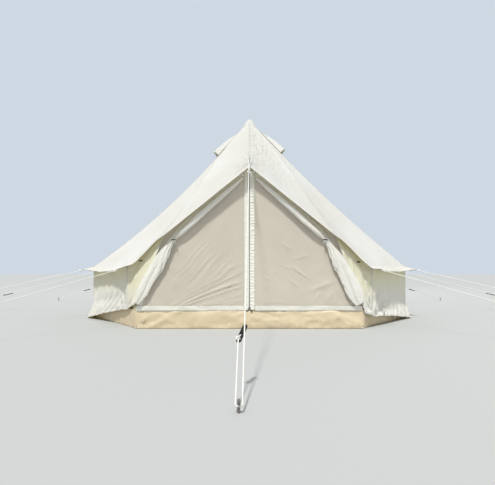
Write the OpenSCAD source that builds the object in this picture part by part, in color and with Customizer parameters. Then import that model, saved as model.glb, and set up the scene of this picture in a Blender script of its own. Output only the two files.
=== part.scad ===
// Four metre canvas bell tent, pitched.
// Millimetres. The ground is z = 0, the centre pole stands on the z axis and the door faces -Y.
// A bearing is measured round the z axis from the door (-Y) towards +X, the right-hand side.

/* [Overall size] */
// Diameter across the pegged foot of the walls
tent_d = 4000; // [3300:50:4900]
// Height of the apex above the ground
apex_h = 2520; // [2080:10:3100]
// Height of the seam between wall and roof
wall_h = 600; // [480:10:740]
// Distance of the side guy pegs from the centre pole
guy_r = 4300; // [3500:50:5200]
// Distance of the front and rear guy pegs from the centre pole
end_guy_r = 4400; // [3600:50:5300]

/* [Canvas] */
// Thickness that canvas and mesh are modelled with
cloth_t = 4; // [3:0.5:6]
// How far the wall stands in from its pegged foot
wall_lean = 70; // [30:5:110]
// Height of the flared foot of the wall
flare_h = 180; // [100:10:250]
// Drop of a left-hand roof rib below the straight line from apex to wall
sag_left = 125; // [60:5:200]
// Drop of a right-hand rib below that line
sag_right = 70; // [60:5:200]
// Drop of the cloth between two ribs
gore_dip = 18; // [5:1:35]
// Width of the valance beyond the wall
valance_w = 120; // [70:5:170]
// Depth of each scallop in the valance
scallop = 38; // [10:2:60]
// Drop of the valance between two guy points
valance_droop = 36; // [10:2:60]

/* [Door] */
// Bearing of the pegged corner at the foot of the door
door_corner_a = 33; // [28:1:36]
// Height of the ridge over the door face
peak_h = 1550; // [1300:10:1850]
// Height of the shoulder where the door side meets the roof
shoulder_h = 925; // [780:5:1100]
// Distance of the shoulder from the centre line
shoulder_x = 790; // [660:5:880]
// How far the top of the door leans out past its foot
door_lean = 85; // [40:5:140]
// Length of the roof in front of the door face
front_over = 80; // [50:5:120]
// Width of each zip tape
zip_tape_w = 50; // [30:2:80]
// Width of the hem along the foot of the mesh
hem_w = 38; // [20:2:60]
// Lift of the loose wall corner left of the door
lift_left = 250; // [60:10:280]
// Lift of the loose wall corner right of the door
lift_right = 150; // [60:10:280]

/* [Groundsheet] */
// Height of the raised rim of the groundsheet
rim_h = 180; // [100:5:220]
// Thickness of the groundsheet
sheet_t = 4; // [3:0.5:6]
// Space between the rim and the wall
rim_gap = 30; // [15:5:60]

/* [Poles] */
// Diameter of the centre pole
pole_d = 32; // [24:1:38]
// Diameter of the two door poles
door_pole_d = 22; // [18:1:28]
// Distance of a door pole foot from the centre line
door_foot_x = 640; // [500:10:760]

/* [Guy lines] */
// Diameter of the rope
rope_d = 8; // [6:0.5:10]
// Diameter of the peg rod
peg_d = 12; // [9:0.5:16]
// Length of the rope slider
slider_l = 144; // [90:2:160]
// Share of a side rope above its slider
side_slider_at = 0.62; // [0.45:0.01:0.72]
// Share of the front rope above its slider
front_slider_at = 0.83; // [0.6:0.01:0.86]
// Sideways place of the front peg
front_peg_x = -42; // [-80:2:80]

/* [Vents] */
// Distance of the lower vent corners from the centre pole
vent_r = 410; // [340:5:480]
// Standoff of the hood's lower edge from the roof
hood_out = 60; // [40:5:110]
// Rise of the middle of that edge above its corners
hood_rise = 75; // [40:5:110]
// Height of the mesh window under the hood, along the slope
vent_l = 210; // [140:10:260]

/* [Hidden] */

// Fit between pieces that rest on each other
seat = 0.3;
// Bearings of the guy points. The first is beside the door, the rest are evenly spaced to the rear
corner_a = 39;
first_side_a = 72;
rear_rib = 7;
side_step_a = (180 - first_side_a) / (rear_rib - 3);
// Radius of the wall above its flared foot
wall_r = tent_d / 2 - wall_lean;
// Vertical thickness of the sloping roof cloth
roof_pitch_a = atan((apex_h - wall_h) / wall_r);
roof_t = cloth_t / cos(roof_pitch_a);
// The door face leans out from the top of the groundsheet rim, with the mesh behind the wall's edge
door_half_w = tent_d / 2 * sin(door_corner_a);
door_base_y = tent_d / 2 * cos(door_corner_a);
face_gap = 16;
mesh_t = 3;
door_slope = (peak_h - shoulder_h) / shoulder_x;
// Mesh behind, canvas in front
function mesh_y(z) = door_base_y + door_lean * (z - rim_h) / (peak_h - rim_h);
function face_y(z) = mesh_y(z) + face_gap;
// The cap closes the small ring where all ribs start
cap_r = 40;
cap_fall = 52;
// Ribs: the ridge and the front seam are nearly straight, the rest hang in a curve
ridge_sag = 20;
front_seam_sag = 25;
front_seam_bow = 60;
front_fall = 38;
// Rope geometry shared by every guy line
peg_grip_h = 30;
guy_drop = roof_t + rope_d / 2 + seat;
function side_guy_r(k) = k == rear_rib ? end_guy_r : guy_r;
function guy_slope(k) = (wall_h - guy_drop - peg_grip_h) / (side_guy_r(k) - wall_r);
strand_gap = 14;
// Mesh resolution of the canvas
gore_cols = 6;
$fn = 32;

function mix(p, q, f) = p + f * (q - p);
function polar(r, a, z) = [r * sin(a), -r * cos(a), z];
function lowered(p, h) = [p.x, p.y, p.z - h];
function sideways(a) = [cos(a), sin(a), 0];
function arch(f) = 4 * f * (1 - f);

// Rib 0 is the ridge over the door, rib 1 the front seam, rib 2 the corner guy point,
// ribs 3 to 7 the guy points down the side to the rear.
function rib_a(k) = k == 2 ? corner_a : first_side_a + side_step_a * (k - 3);
function ring_pt(k) =
    k == 0 ? [0, -face_y(peak_h), peak_h] :
    k == 1 ? [shoulder_x, -face_y(shoulder_h), shoulder_h] :
    polar(wall_r, rib_a(k), wall_h);
function eave_pt(k) =
    k < 2 ? ring_pt(k) + [0, -front_over, -front_fall] :
    polar(wall_r + valance_w, rib_a(k), wall_h - valance_w * guy_slope(k));
function rib_start(k) =
    let (p = ring_pt(k))
    polar(cap_r, atan2(p.x, -p.y), apex_h - cap_fall);
// The ribs of a side hang alike, and the last two lead over to the other side
function rib_sag(k, sag) = k == 0 ? ridge_sag : k == 1 ? front_seam_sag :
    mix(sag, (sag_left + sag_right) / 2, max(0, k - rear_rib + 2) / 2);
function side_sag(side) = side == "left" ? sag_left : sag_right;
function rib_bow(k) = k == 1 ? front_seam_bow : 0;
function rib_pt(k, t, sag = 0) =
    mix(rib_start(k), ring_pt(k), t)
    + [rib_bow(k) * 6.75 * t * (1 - t) * (1 - t), 0, -rib_sag(k, sag) * arch(t)];

// Outer face of the roof between rib k and the next, f across and t down from the cap
function roof_pt(k, f, t, sag) =
    lowered(mix(rib_pt(k, t, sag), rib_pt(k + 1, t, sag), f), gore_dip * arch(f) * sin(180 * t));
// Outer face of the valance, s out from the wall to its scalloped edge
function valance_pt(k, f, s) =
    let (wave = k < 1 ? 0 : arch(f),
         ring = mix(ring_pt(k), ring_pt(k + 1), f),
         edge = mix(eave_pt(k), eave_pt(k + 1), f))
    lowered(ring + s * (1 - wave * scallop / valance_w) * (edge - ring), s * wave * valance_droop);
// The rows of the roof follow the edges of the vent window, so it lies between whole rows
function rib_share(r) = (r - cap_r) / (wall_r - cap_r);
vent_low_t = rib_share(vent_r - 28);
vent_top_t = rib_share(vent_r - 28 - vent_l * cos(roof_pitch_a));
roof_rows = [0, vent_top_t, vent_low_t, 0.3, 0.42, 0.56, 0.7, 0.85, 1];
function roof_col(k, f, sag) = concat(
    [for (t = roof_rows) roof_pt(k, f, t, sag)],
    [for (s = [0.5, 1]) valance_pt(k, f, s)]);
// Columns of one panel that spans ribs k_first to k_last
function panel_cols(k_first, k_last, sag) = concat(
    [for (k = [k_first : k_last - 1], c = [0 : gore_cols - 1]) roof_col(k, c / gore_cols, sag)],
    [roof_col(k_last - 1, 1, sag)]);

// Closed sheet between two grids of points that have the same rows and columns.
// A hole is [first row, last row, first column, last column] of the cells that it leaves out.
module sheet(outer, inner, hole = [0, -1, 0, -1]) {
    rows = len(outer);
    cols = len(outer[0]);
    n = rows * cols;
    last_r = rows - 1;
    last_c = cols - 1;
    points = concat([for (row = outer) each row], [for (row = inner) each row]);
    skins = [for (r = [0 : last_r - 1], c = [0 : last_c - 1])
        if (r < hole[0] || r > hole[1] || c < hole[2] || c > hole[3])
        let (a = r * cols + c, b = a + 1, d = a + cols, e = d + 1)
        each [[a, e, b], [a, d, e], [n + a, n + b, n + e], [n + a, n + e, n + d]]];
    hole_sides = hole[1] < hole[0] ? [] : [for (r = [hole[0] : hole[1]])
        let (a = r * cols + hole[2], d = a + cols, b = r * cols + hole[3] + 1, e = b + cols)
        each [[a, d, n + d], [a, n + d, n + a], [b, n + e, e], [b, n + b, n + e]]];
    hole_ends = hole[1] < hole[0] ? [] : [for (c = [hole[2] : hole[3]])
        let (a = hole[0] * cols + c, b = a + 1, d = (hole[1] + 1) * cols + c, e = d + 1)
        each [[a, n + b, b], [a, n + a, n + b], [d, e, n + e], [d, n + e, n + d]]];
    sides = [for (r = [0 : last_r - 1])
        let (a = r * cols, d = a + cols, b = a + last_c, e = b + cols)
        each [[a, n + d, d], [a, n + a, n + d], [b, e, n + e], [b, n + e, n + b]]];
    ends = [for (c = [0 : last_c - 1])
        let (a = c, b = c + 1, d = last_r * cols + c, e = d + 1)
        each [[a, b, n + b], [a, n + b, n + a], [d, n + e, e], [d, n + d, n + e]]];
    polyhedron(points, concat(skins, sides, ends, hole_sides, hole_ends), convexity = 4);
}

// Closed tube through rings of points, with flat ends
module tube(rings) {
    n = len(rings[0]);
    last = len(rings) - 1;
    points = [for (ring = rings) each ring];
    skin = [for (r = [0 : last - 1], c = [0 : n - 1])
        let (a = r * n + c, b = r * n + (c + 1) % n)
        each [[a, b + n, a + n], [a, b, b + n]]];
    caps = [for (c = [1 : n - 2]) each [[0, c + 1, c], [last * n, last * n + c, last * n + c + 1]]];
    polyhedron(points, concat(skin, caps), convexity = 6);
}

// Round bar from p to q
module rod(p, q, r) {
    v = q - p;
    translate(p)
        rotate([0, acos(v.z / norm(v)), atan2(v.y, v.x)])
            cylinder(h = norm(v), r = r);
}

module on_left(side) {
    if (side == "left") mirror([1, 0, 0]) children();
    else children();
}

module roof_panel(side, k_first, k_last, hole = [0, -1, 0, -1]) {
    outer = panel_cols(k_first, k_last, side_sag(side));
    inner = [for (col = outer) [for (p = col) lowered(p, roof_t)]];
    color("ivory") on_left(side) sheet(outer, inner, hole);
}

// The ridge seam is cut for the spike on the door poles
spike_r = 4;
spike_end = 26;
pole_head_r = door_pole_d / 2 + 3;
spike_y = mesh_y(peak_h) - mesh_t - pole_head_r - 4;
spike_base_z = rib_pt(0, (spike_y - cap_r) / (face_y(peak_h) - cap_r)).z;
module roof_door(side) {
    difference() {
        roof_panel(side, 0, 1);
        translate([0, -spike_y, spike_base_z - 60]) cylinder(h = 120, r = spike_r + 2);
    }
}
module roof_gore(side, i) {
    if (i == 1) roof_panel(side, 1, 3);
    else if (i == 2) roof_panel(side, 3, 4, vent_cells);
    else roof_panel(side, i + 1, i + 2);
}

// Height of the wall's foot: the corner beside the door is loose and lifts
lift_span_a = 24;
function foot_z(a, lift) = lift * pow(max(0, 1 - (a - door_corner_a) / lift_span_a), 1.3);
function wall_r_at(z) = wall_r + wall_lean * max(0, 1 - z / flare_h);
wall_levels = [1, 0.7, 0.4, 0.2, 0.1, 0];
wall_top_z = wall_h - roof_t - seat;
// The edge beside the door stands just outside the corner of the groundsheet rim
wall_edge_out = 8;
wall_edge_top = shoulder_h - roof_t - seat;
function wall_edge_x(z) =
    mix(door_half_w + wall_edge_out, shoulder_x, max(0, z - rim_h) / (wall_edge_top - rim_h));
function wall_pt(k, level, lift, depth) =
    k == 1 ?
        let (z = mix(lift, wall_edge_top, level))
        [wall_edge_x(z), -face_y(z) + depth, z] :
        let (z = mix(foot_z(rib_a(k), lift), wall_top_z, level))
        polar(wall_r_at(z) - depth, rib_a(k), z);
function wall_col(k, f, lift, depth) = [for (level = wall_levels)
    mix(wall_pt(k, level, lift, depth), wall_pt(k + 1, level, lift, depth), f)];
function wall_cols(k_first, k_last, lift, depth) = concat(
    [for (k = [k_first : k_last - 1], c = [0 : gore_cols - 1])
        wall_col(k, c / gore_cols, lift, depth)],
    [wall_col(k_last - 1, 1, lift, depth)]);
module wall_panel(side, i) {
    lift = side == "left" ? lift_left : lift_right;
    k_first = i == 1 ? 1 : i + 1;
    k_last = i + 2;
    color("linen") on_left(side)
        sheet(wall_cols(k_first, k_last, lift, 0), wall_cols(k_first, k_last, lift, cloth_t));
}

// Inside it the pole tip bears on a flat
cap_seat_z = apex_h - cloth_t - 8;
module apex_cap() {
    tip_r = 20;
    base_z = apex_h - cap_fall + seat;
    color("ivory") rotate_extrude()
        polygon([[0, cap_seat_z], [0, apex_h], [tip_r / 2, apex_h - 3], [tip_r, apex_h - tip_r / 2],
            [cap_r + 6, base_z], [cap_r - 2, base_z], [tip_r - 4, cap_seat_z - 10], [8, cap_seat_z]]);
}

// The vent is a window in the gore behind rib 3, under a hood sewn in with the ribs beside it
hood_top_r = 150;
vent_cells = [1, gore_cols - 2, 1, 1];
module vent_hood(side) {
    clear = 2.5 * seat;
    top_t = rib_share(hood_top_r);
    low_t = rib_share(vent_r);
    sag = side_sag(side);
    edge_b = roof_pt(3, 0, low_t, sag);
    edge_c = roof_pt(3, 1, low_t, sag);
    mid = roof_pt(3, 0.5, low_t, sag) + [hood_out, 0, hood_rise];
    function low_edge(u) = (1 - u) * (1 - u) * edge_b + 2 * u * (1 - u) * (2 * mid - (edge_b + edge_c) / 2)
        + u * u * edge_c;
    function hood_pt(u, v) =
        let (p = mix(roof_pt(3, u, top_t, sag), low_edge(u), v))
        p + [clear, 0, clear + hood_out * 0.3 * arch(u) * arch(v)];
    cols = [for (c = [0 : gore_cols]) [for (v = [0 : 0.2 : 1]) hood_pt(c / gore_cols, v)]];
    outer = [for (col = cols) [for (p = col) p + [cloth_t * 0.8, 0, cloth_t]]];
    color("ivory") on_left(side) sheet(outer, cols);
}
// Mesh sewn behind the window, lapping the canvas all round
module vent_mesh() {
    drop = roof_t + 2 * seat;
    lap_t = (vent_low_t - vent_top_t) / 6;
    shares = [vent_top_t - lap_t, vent_top_t, vent_low_t, vent_low_t + lap_t];
    across = [for (c = concat([0.5], [for (i = [1 : gore_cols - 1]) i], [gore_cols - 0.5])) c / gore_cols];
    color("gray") for (side = ["left", "right"]) {
        outer = [for (u = across) [for (t = shares) lowered(roof_pt(3, u, t, side_sag(side)), drop)]];
        inner = [for (col = outer) [for (p = col) lowered(p, cloth_t)]];
        on_left(side) sheet(outer, inner);
    }
}

// Plan of the groundsheet: the door corners are pegged out, the rest lies inside the wall
rim_r = wall_r - rim_gap;
function sheet_side(inset) = [for (k = [2 : rear_rib])
    let (p = polar(rim_r - inset, rib_a(k), 0)) [p.x, p.y]];
function sheet_plan(inset) =
    let (right = concat([[door_half_w - inset, -door_base_y + inset]], sheet_side(inset)),
         n = len(right))
    concat(right, [for (i = [1 : n - 1]) [-right[n - 1 - i].x, right[n - 1 - i].y]]);
module groundsheet_floor() {
    color("tan") linear_extrude(sheet_t) polygon(sheet_plan(0));
}
module groundsheet_rim() {
    color("tan") translate([0, 0, sheet_t]) linear_extrude(rim_h - sheet_t)
        difference() {
            polygon(sheet_plan(0));
            polygon(sheet_plan(sheet_t));
        }
}

// Centre pole in two lengths on a foot plate, the upper one swaged into the lower
pole_foot_h = 28;
pole_split_z = 1250;
pole_swage_l = 120;
pole_tip_l = 14;
pole_top_z = cap_seat_z - seat - pole_tip_l - 4;
module centre_pole_foot() {
    color("dimgray") translate([0, 0, sheet_t]) {
        cylinder(h = pole_foot_h - 8, r = pole_d / 2 + 10);
        cylinder(h = pole_foot_h, r = pole_d / 2 + 5);
    }
}
module centre_pole_lower() {
    color("silver") translate([0, 0, sheet_t + pole_foot_h])
        difference() {
            cylinder(h = pole_split_z - sheet_t - pole_foot_h, r = pole_d / 2);
            translate([0, 0, pole_split_z - sheet_t - pole_foot_h - pole_swage_l - 5])
                cylinder(h = pole_swage_l + 10, r = pole_d / 2 - 2);
        }
}
module centre_pole_upper() {
    color("silver") {
        translate([0, 0, pole_split_z]) cylinder(h = pole_top_z - pole_split_z, r = pole_d / 2 - seat);
        translate([0, 0, pole_split_z - pole_swage_l])
            cylinder(h = pole_swage_l, r = pole_d / 2 - 2 - seat);
        translate([0, 0, pole_top_z]) cylinder(h = pole_tip_l, r1 = 9, r2 = 5);
        translate([0, 0, pole_top_z + pole_tip_l]) cylinder(h = 4, r = 5);
    }
}

// Two door poles meet in a bent joint whose spike passes through the ridge
door_pole_foot = [door_foot_x, -door_base_y + 70, sheet_t];
ridge_rise = (apex_h - cap_fall - peak_h) / (face_y(peak_h) - cap_r);
pole_head_drop = (pole_head_r + seat) * norm([1, door_slope, ridge_rise]) + 0.8;
door_pole_head = [0, -spike_y, spike_base_z - roof_t - pole_head_drop];
joint_share = 0.93;
module door_pole(side) {
    color("silver") on_left(side) {
        rod(door_pole_foot + [0, 0, 8], mix(door_pole_foot, door_pole_head, joint_share), door_pole_d / 2);
        translate(door_pole_foot) cylinder(h = 14, r = door_pole_d / 2 + 4);
    }
}
module door_pole_joint() {
    color("gray") {
        for (side = ["left", "right"]) on_left(side)
            rod(mix(door_pole_foot, door_pole_head, joint_share + 0.0003), door_pole_head, door_pole_d / 2 + 1);
        translate(door_pole_head) sphere(r = pole_head_r);
        translate(door_pole_head) cylinder(h = front_loop_z + spike_end - door_pole_head.z, r = spike_r);
    }
}

// Mesh door in two halves on the groundsheet rim, each with a hem and edge band
door_tuck = 20;
zip_gap = 2;
function mesh_top(x) = peak_h - roof_t - 4 - door_slope * x;
function door_side_x(z) = mix(door_half_w, shoulder_x, max(0, z - rim_h) / (shoulder_h - rim_h));
module on_door_face() {
    translate([0, -door_base_y, rim_h + seat])
        rotate([90 + atan(door_lean / (peak_h - rim_h)), 0, 0])
            translate([0, -rim_h - seat, -mesh_t]) children();
}
module mesh_door(side) {
    foot_z = rim_h + seat;
    hem_z = foot_z + hem_w;
    corner_x = door_half_w - 6;
    color("wheat") on_left(side) on_door_face() {
        linear_extrude(mesh_t) polygon([
            [zip_gap / 2, foot_z], [corner_x, foot_z], [door_side_x(hem_z) + 12, hem_z],
            [shoulder_x + door_tuck, mesh_top(shoulder_x + door_tuck)], [zip_gap / 2, mesh_top(zip_gap / 2)]]);
        translate([0, 0, mesh_t]) linear_extrude(1.5) polygon([
            [zip_tape_w + 2, foot_z], [corner_x, foot_z],
            [door_side_x(hem_z), hem_z], [zip_tape_w + 2, hem_z]]);
    }
}
module door_zip() {
    top_z = mesh_top(zip_tape_w) - 6;
    color("white") on_door_face() translate([0, 0, mesh_t + seat]) {
        linear_extrude(1.5) polygon([[-zip_tape_w, rim_h + seat], [zip_tape_w, rim_h + seat],
            [zip_tape_w, top_z], [-zip_tape_w, top_z]]);
        translate([0, rim_h + 30, 1.5]) linear_extrude(5) square([8, 34], center = true);
    }
}

// Canvas door half, rolled and tied along the roof edge, its lower part hanging to the corner
// Half width across the folds, half depth and depth of the pleats at each station.
// Above the tie, a station is a share of the way to the shoulder and its drop below the roof edge.
roll_stations = [
    [0.076, 79, 10, 10, 0], [0.165, 85, 17, 15, 0.04], [0.329, 92, 24, 18, 0.06],
    [0.506, 103, 29, 21, 0.06], [0.684, 118, 30, 22, 0.06], [0.823, 131, 24, 20, 0.08],
    [0.901, 141, 14, 14, 0.05]];
// Below the tie, it is a share of the shoulder's height and how far it stands in from the wall's edge.
// There the pleats are in front and the back lies flat on the edge of the wall.
// The left half hangs narrower at its foot, where its wall is lifted higher.
hang_stations_left = [
    [0.854, 91, 26, 18, 0.12], [0.77, 76, 46, 18, 0.16], [0.638, 53, 57, 17, 0.18],
    [0.497, 26, 59, 16, 0.18], [0.381, 15, 54, 15, 0.16], [0.3, 4, 34, 12, 0.12],
    [0.262, -2, 20, 10, 0.08]];
hang_stations_right = [
    [0.854, 91, 26, 18, 0.12], [0.77, 76, 46, 18, 0.16], [0.638, 58, 62, 17, 0.18],
    [0.497, 41, 74, 16, 0.18], [0.381, 34, 72, 15, 0.16], [0.29, 30, 50, 12, 0.12],
    [0.255, 28, 34, 10, 0.08]];
function roll_place(s) =
    let (x = s[0] * shoulder_x) [x, peak_h - door_slope * x - s[1], s[2], s[3], s[4]];
function hang_place(s) =
    let (z = s[0] * shoulder_h) [wall_edge_x(z) - s[1], z, s[2], s[3], s[4]];
function flap_stations(side) = concat(
    [for (s = roll_stations) roll_place(s)],
    [for (s = side == "left" ? hang_stations_left : hang_stations_right) hang_place(s)]);
tie_station = len(roll_stations) - 1;
flap_points = 16;
function flap_dir(i, stations) =
    let (a = stations[max(0, i - 1)], b = stations[min(len(stations) - 1, i + 1)],
         d = [b[0] - a[0], 0, b[1] - a[1]])
    d / norm(d);
function flap_centre(s) = [s[0], -face_y(s[1]) - s[3] * (1 + s[4]) - seat, s[1]];
function flap_ring(i, stations) =
    let (s = stations[i], d = flap_dir(i, stations), across = [-d.z, 0, d.x], loose = i > tie_station)
    [for (j = [0 : flap_points - 1])
        let (a = 360 * j / flap_points,
             back = loose && a <= 180,
             fold = back || j % 2 == 0 ? 1 + s[4] : 1 - s[4],
             deep = back ? min(1, 1.45 * sin(a)) : sin(a),
             p = flap_centre(s) + fold * s[2] * cos(a) * across)
        [p.x, p.y + face_y(s[1]) - face_y(p.z) + fold * s[3] * deep, p.z]];
module door_flap(side) {
    stations = flap_stations(side);
    color("ivory") on_left(side) tube([for (i = [0 : len(stations) - 1]) flap_ring(i, stations)]);
}
// A cord loop round the gathered canvas
tie_cord_r = 3;
tie = flap_stations("right")[tie_station];
tie_dir = flap_dir(tie_station, flap_stations("right"));
tie_ring_r = tie[2] * 1.06 + tie_cord_r + seat;
module flap_ties() {
    color("white") for (side = ["left", "right"]) on_left(side)
        translate(flap_centre(tie))
            rotate([0, atan2(tie_dir.x, tie_dir.z), 0])
                rotate_extrude() translate([tie_ring_r, 0]) circle(r = tie_cord_r);
}

// Toggles: one holds each door tie, and one on each wall panel holds the wall when it is rolled up
toggle_r = 6;
toggle_l = 38;
// Depth of the ones on the walls under the top seam
toggle_drop = 42;
// Place of the one beside the door, across that panel and up it
door_toggle_f = 0.58;
door_toggle_up = 0.85;
module toggle(p, along) {
    rod(p - toggle_l / 2 * along, p + toggle_l / 2 * along, toggle_r);
}
module door_toggle(lift) {
    function at(f, level) = mix(wall_pt(1, level, lift, 0), wall_pt(2, level, lift, 0), f);
    run = at(1, door_toggle_up) - at(0, door_toggle_up);
    out = unit(cross(run, at(door_toggle_f, 1) - at(door_toggle_f, 0.7)));
    toggle(at(door_toggle_f, door_toggle_up) + (toggle_r + 2 * seat) * out, unit([-out.y, out.x, 0]));
}
module toggles() {
    color("black") for (side = ["left", "right"]) on_left(side) {
        for (k = [2 : rear_rib - 1]) {
            a = (rib_a(k) + rib_a(k + 1)) / 2;
            flat_r = wall_r * cos((rib_a(k + 1) - rib_a(k)) / 2);
            toggle(polar(flat_r + toggle_r + seat, a, wall_top_z - toggle_drop), sideways(a));
        }
        door_toggle(side == "left" ? lift_left : lift_right);
        translate(flap_centre(tie) - [toggle_l / 2, tie_ring_r + tie_cord_r + toggle_r + seat, 0])
            rotate([0, 90, 0]) cylinder(h = toggle_l, r = toggle_r);
    }
}

// One guy line: single rope to the slider, then doubled round the peg
peg_r = peg_d / 2;
rope_r = rope_d / 2;
loop_shift = strand_gap - rope_r - peg_r - seat;
slider_w = 24;
slider_t = 8;
slider_end = 15;
function loop_centre(peg, out) = peg - loop_shift * out;
function strand_end(peg, out, side) =
    loop_centre(peg, out) + side * strand_gap * [-out.y, out.x, 0];
function slider_low(top, peg, out, at) =
    let (run = strand_end(peg, out, 1) - top,
         pitch = slider_l - 2 * slider_end)
    mix(top, strand_end(peg, out, 1), at + pitch / norm(run) * 0.94)
    - 2 * strand_gap * [-out.y, out.x, 0];
function unit(v) = v / norm(v);
// Rings of a round tube along a path, one radius for each point. The path is nowhere parallel to ref
function swept(path, radii, sides, ref = [0, 0, 1]) =
    let (last = len(path) - 1)
    [for (i = [0 : last])
        let (ahead = unit(path[min(i + 1, last)] - path[min(i, last - 1)]),
             behind = unit(path[max(i, 1)] - path[max(i - 1, 0)]),
             d = unit(ahead + behind),
             u = unit(cross(d, ref)),
             v = cross(u, d))
        [for (j = [0 : sides - 1])
            let (a = 360 * j / sides)
            path[i] + radii[i] * (cos(a) * u + sin(a) * v)]];
loop_steps = 6;
rope_sides = 8;
module guy_rope(top, peg, out, at) {
    low = slider_low(top, peg, out, at);
    centre = loop_centre(peg, out);
    side = [-out.y, out.x, 0];
    back = unit(low - strand_end(peg, out, -1));
    path = concat(
        [top, strand_end(peg, out, 1)],
        [for (i = [1 : loop_steps - 1])
            centre + strand_gap * (cos(180 * i / loop_steps) * side + sin(180 * i / loop_steps) * out)],
        [strand_end(peg, out, -1), low, low + 3 * back, low + 11 * back, low + 13 * back]);
    n = len(path);
    radii = [for (i = [0 : n - 1]) i == n - 1 ? rope_r * 0.9 : i > n - 4 ? rope_r * 1.9 : rope_r];
    tube(swept(path, radii, rope_sides));
}
module guy_slider(top, peg, out, at) {
    high = mix(top, strand_end(peg, out, 1), at);
    low = slider_low(top, peg, out, at);
    run = (low - high) / norm(low - high);
    bar_l = norm(low - high);
    translate(high)
        rotate([0, 0, atan2(run.y, run.x)])
            rotate([0, -asin(run.z), 0])
                translate([0, 0, -rope_r * 1.8 - slider_t / 2 - seat])
                    difference() {
                        union() {
                            translate([0, -slider_w / 2, -slider_t / 2]) cube([bar_l, slider_w, slider_t]);
                            for (x = [0, bar_l]) translate([x, 0, -slider_t / 2])
                                cylinder(h = slider_t, r = slider_w / 2);
                        }
                        for (x = [0, bar_l / 2, bar_l]) translate([x, 0, -slider_t])
                            cylinder(h = 2 * slider_t, r = rope_r + 0.6);
                    }
}
// A bar that stands in the ground and is bent over at the top to hold what is looped round it
module hooked_bar(p, out, height, arm, r) {
    path = [[p.x, p.y, 0], [p.x, p.y, height - r], [p.x, p.y, height] + r * out,
        [p.x, p.y, height] + arm * out - [0, 0, r]];
    tube(swept(path, [for (q = path) r], rope_sides, [-out.y, out.x, 0]));
}
module guy_peg(peg, out) {
    hooked_bar(peg, out, peg_grip_h + rope_r + 20, 26, peg_r);
}

// Side and rear lines start under the valance, where the wall meets the roof
function side_top(k) =
    polar(wall_r + rope_r + seat, rib_a(k), wall_h - guy_drop - guy_slope(k) * (rope_r + seat));
function side_peg(k) = polar(side_guy_r(k), rib_a(k), peg_grip_h);
function side_out(k) = polar(1, rib_a(k), 0);
// The front line loops over the spike, clears the edge of the roof and is knotted a little way out
front_run = face_y(peak_h) + front_over - spike_y;
front_drop = front_run * (spike_base_z - peg_grip_h) / (end_guy_r - spike_y);
front_loop_z = spike_base_z + max(24, 16 + front_drop - (spike_base_z - peak_h + front_fall));
front_out = [0, -1, 0];
front_peg = [front_peg_x, -end_guy_r, peg_grip_h];
front_start = [0, -spike_y, front_loop_z];
front_knot = mix(front_start, front_peg, 0.1);
module each_side_line() {
    for (k = [2 : rear_rib - 1], side = ["left", "right"]) on_left(side) {
        $k = k;
        children();
    }
    $k = rear_rib;
    children();
}
module guy_ropes() {
    loop_r = spike_r + rope_r + seat;
    knot_r = rope_r * 2.2;
    run = unit(front_start - front_knot);
    color("whitesmoke") {
        each_side_line() guy_rope(side_top($k), side_peg($k), side_out($k), side_slider_at);
        guy_rope(front_knot - run * (knot_r + 0.2), front_peg, front_out, (front_slider_at - 0.1) / 0.9);
        translate(front_knot) sphere(r = knot_r);
        tube(swept(concat(
            [front_knot + run * (knot_r + 0.1) + [loop_r * 0.7, 0, 0]],
            [for (a = [0 : 22.5 : 180]) front_start + loop_r * [cos(a), sin(a), 0]],
            [front_knot + run * (knot_r + 0.1) - [loop_r * 0.7, 0, 0]]),
            [for (i = [0 : 10]) rope_r], rope_sides));
    }
}
module guy_sliders() {
    color("black") {
        each_side_line() guy_slider(side_top($k), side_peg($k), side_out($k), side_slider_at);
        guy_slider(front_knot, front_peg, front_out, (front_slider_at - 0.1) / 0.9);
    }
}
module guy_pegs() {
    color("dimgray") {
        each_side_line() guy_peg(side_peg($k), side_out($k));
        guy_peg(front_peg, front_out);
    }
}

// Small pegs through the loops at the foot of the wall and at the door corners
wall_peg_r = 3;
module wall_peg(p, out) {
    hooked_bar(p, out, 34, 18, wall_peg_r);
}
module wall_pegs() {
    clear = wall_peg_r + seat;
    color("silver") {
        for (k = [3 : rear_rib - 1], side = ["left", "right"]) on_left(side)
            wall_peg(polar(tent_d / 2 + clear, rib_a(k), 0), side_out(k));
        wall_peg(polar(tent_d / 2 + clear, 180, 0), side_out(rear_rib));
        for (side = ["left", "right"]) on_left(side)
            wall_peg([door_half_w - 8, -door_base_y - clear, 0], front_out);
    }
}

roof_door("left");  // roof_door_left
roof_door("right");  // roof_door_right
roof_gore("left", 1);  // roof_left_1
roof_gore("left", 2);  // roof_left_2
roof_gore("left", 3);  // roof_left_3
roof_gore("left", 4);  // roof_left_4
roof_gore("left", 5);  // roof_left_5
roof_gore("right", 1);  // roof_right_1
roof_gore("right", 2);  // roof_right_2
roof_gore("right", 3);  // roof_right_3
roof_gore("right", 4);  // roof_right_4
roof_gore("right", 5);  // roof_right_5
wall_panel("left", 1);  // wall_left_1
wall_panel("left", 2);  // wall_left_2
wall_panel("left", 3);  // wall_left_3
wall_panel("left", 4);  // wall_left_4
wall_panel("left", 5);  // wall_left_5
wall_panel("right", 1);  // wall_right_1
wall_panel("right", 2);  // wall_right_2
wall_panel("right", 3);  // wall_right_3
wall_panel("right", 4);  // wall_right_4
wall_panel("right", 5);  // wall_right_5
apex_cap();
vent_hood("left");  // vent_hood_left
vent_hood("right");  // vent_hood_right
vent_mesh();
groundsheet_floor();
groundsheet_rim();
centre_pole_foot();
centre_pole_lower();
centre_pole_upper();
door_pole("left");  // door_pole_left
door_pole("right");  // door_pole_right
door_pole_joint();
mesh_door("left");  // mesh_door_left
mesh_door("right");  // mesh_door_right
door_zip();
door_flap("left");  // door_flap_left
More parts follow.
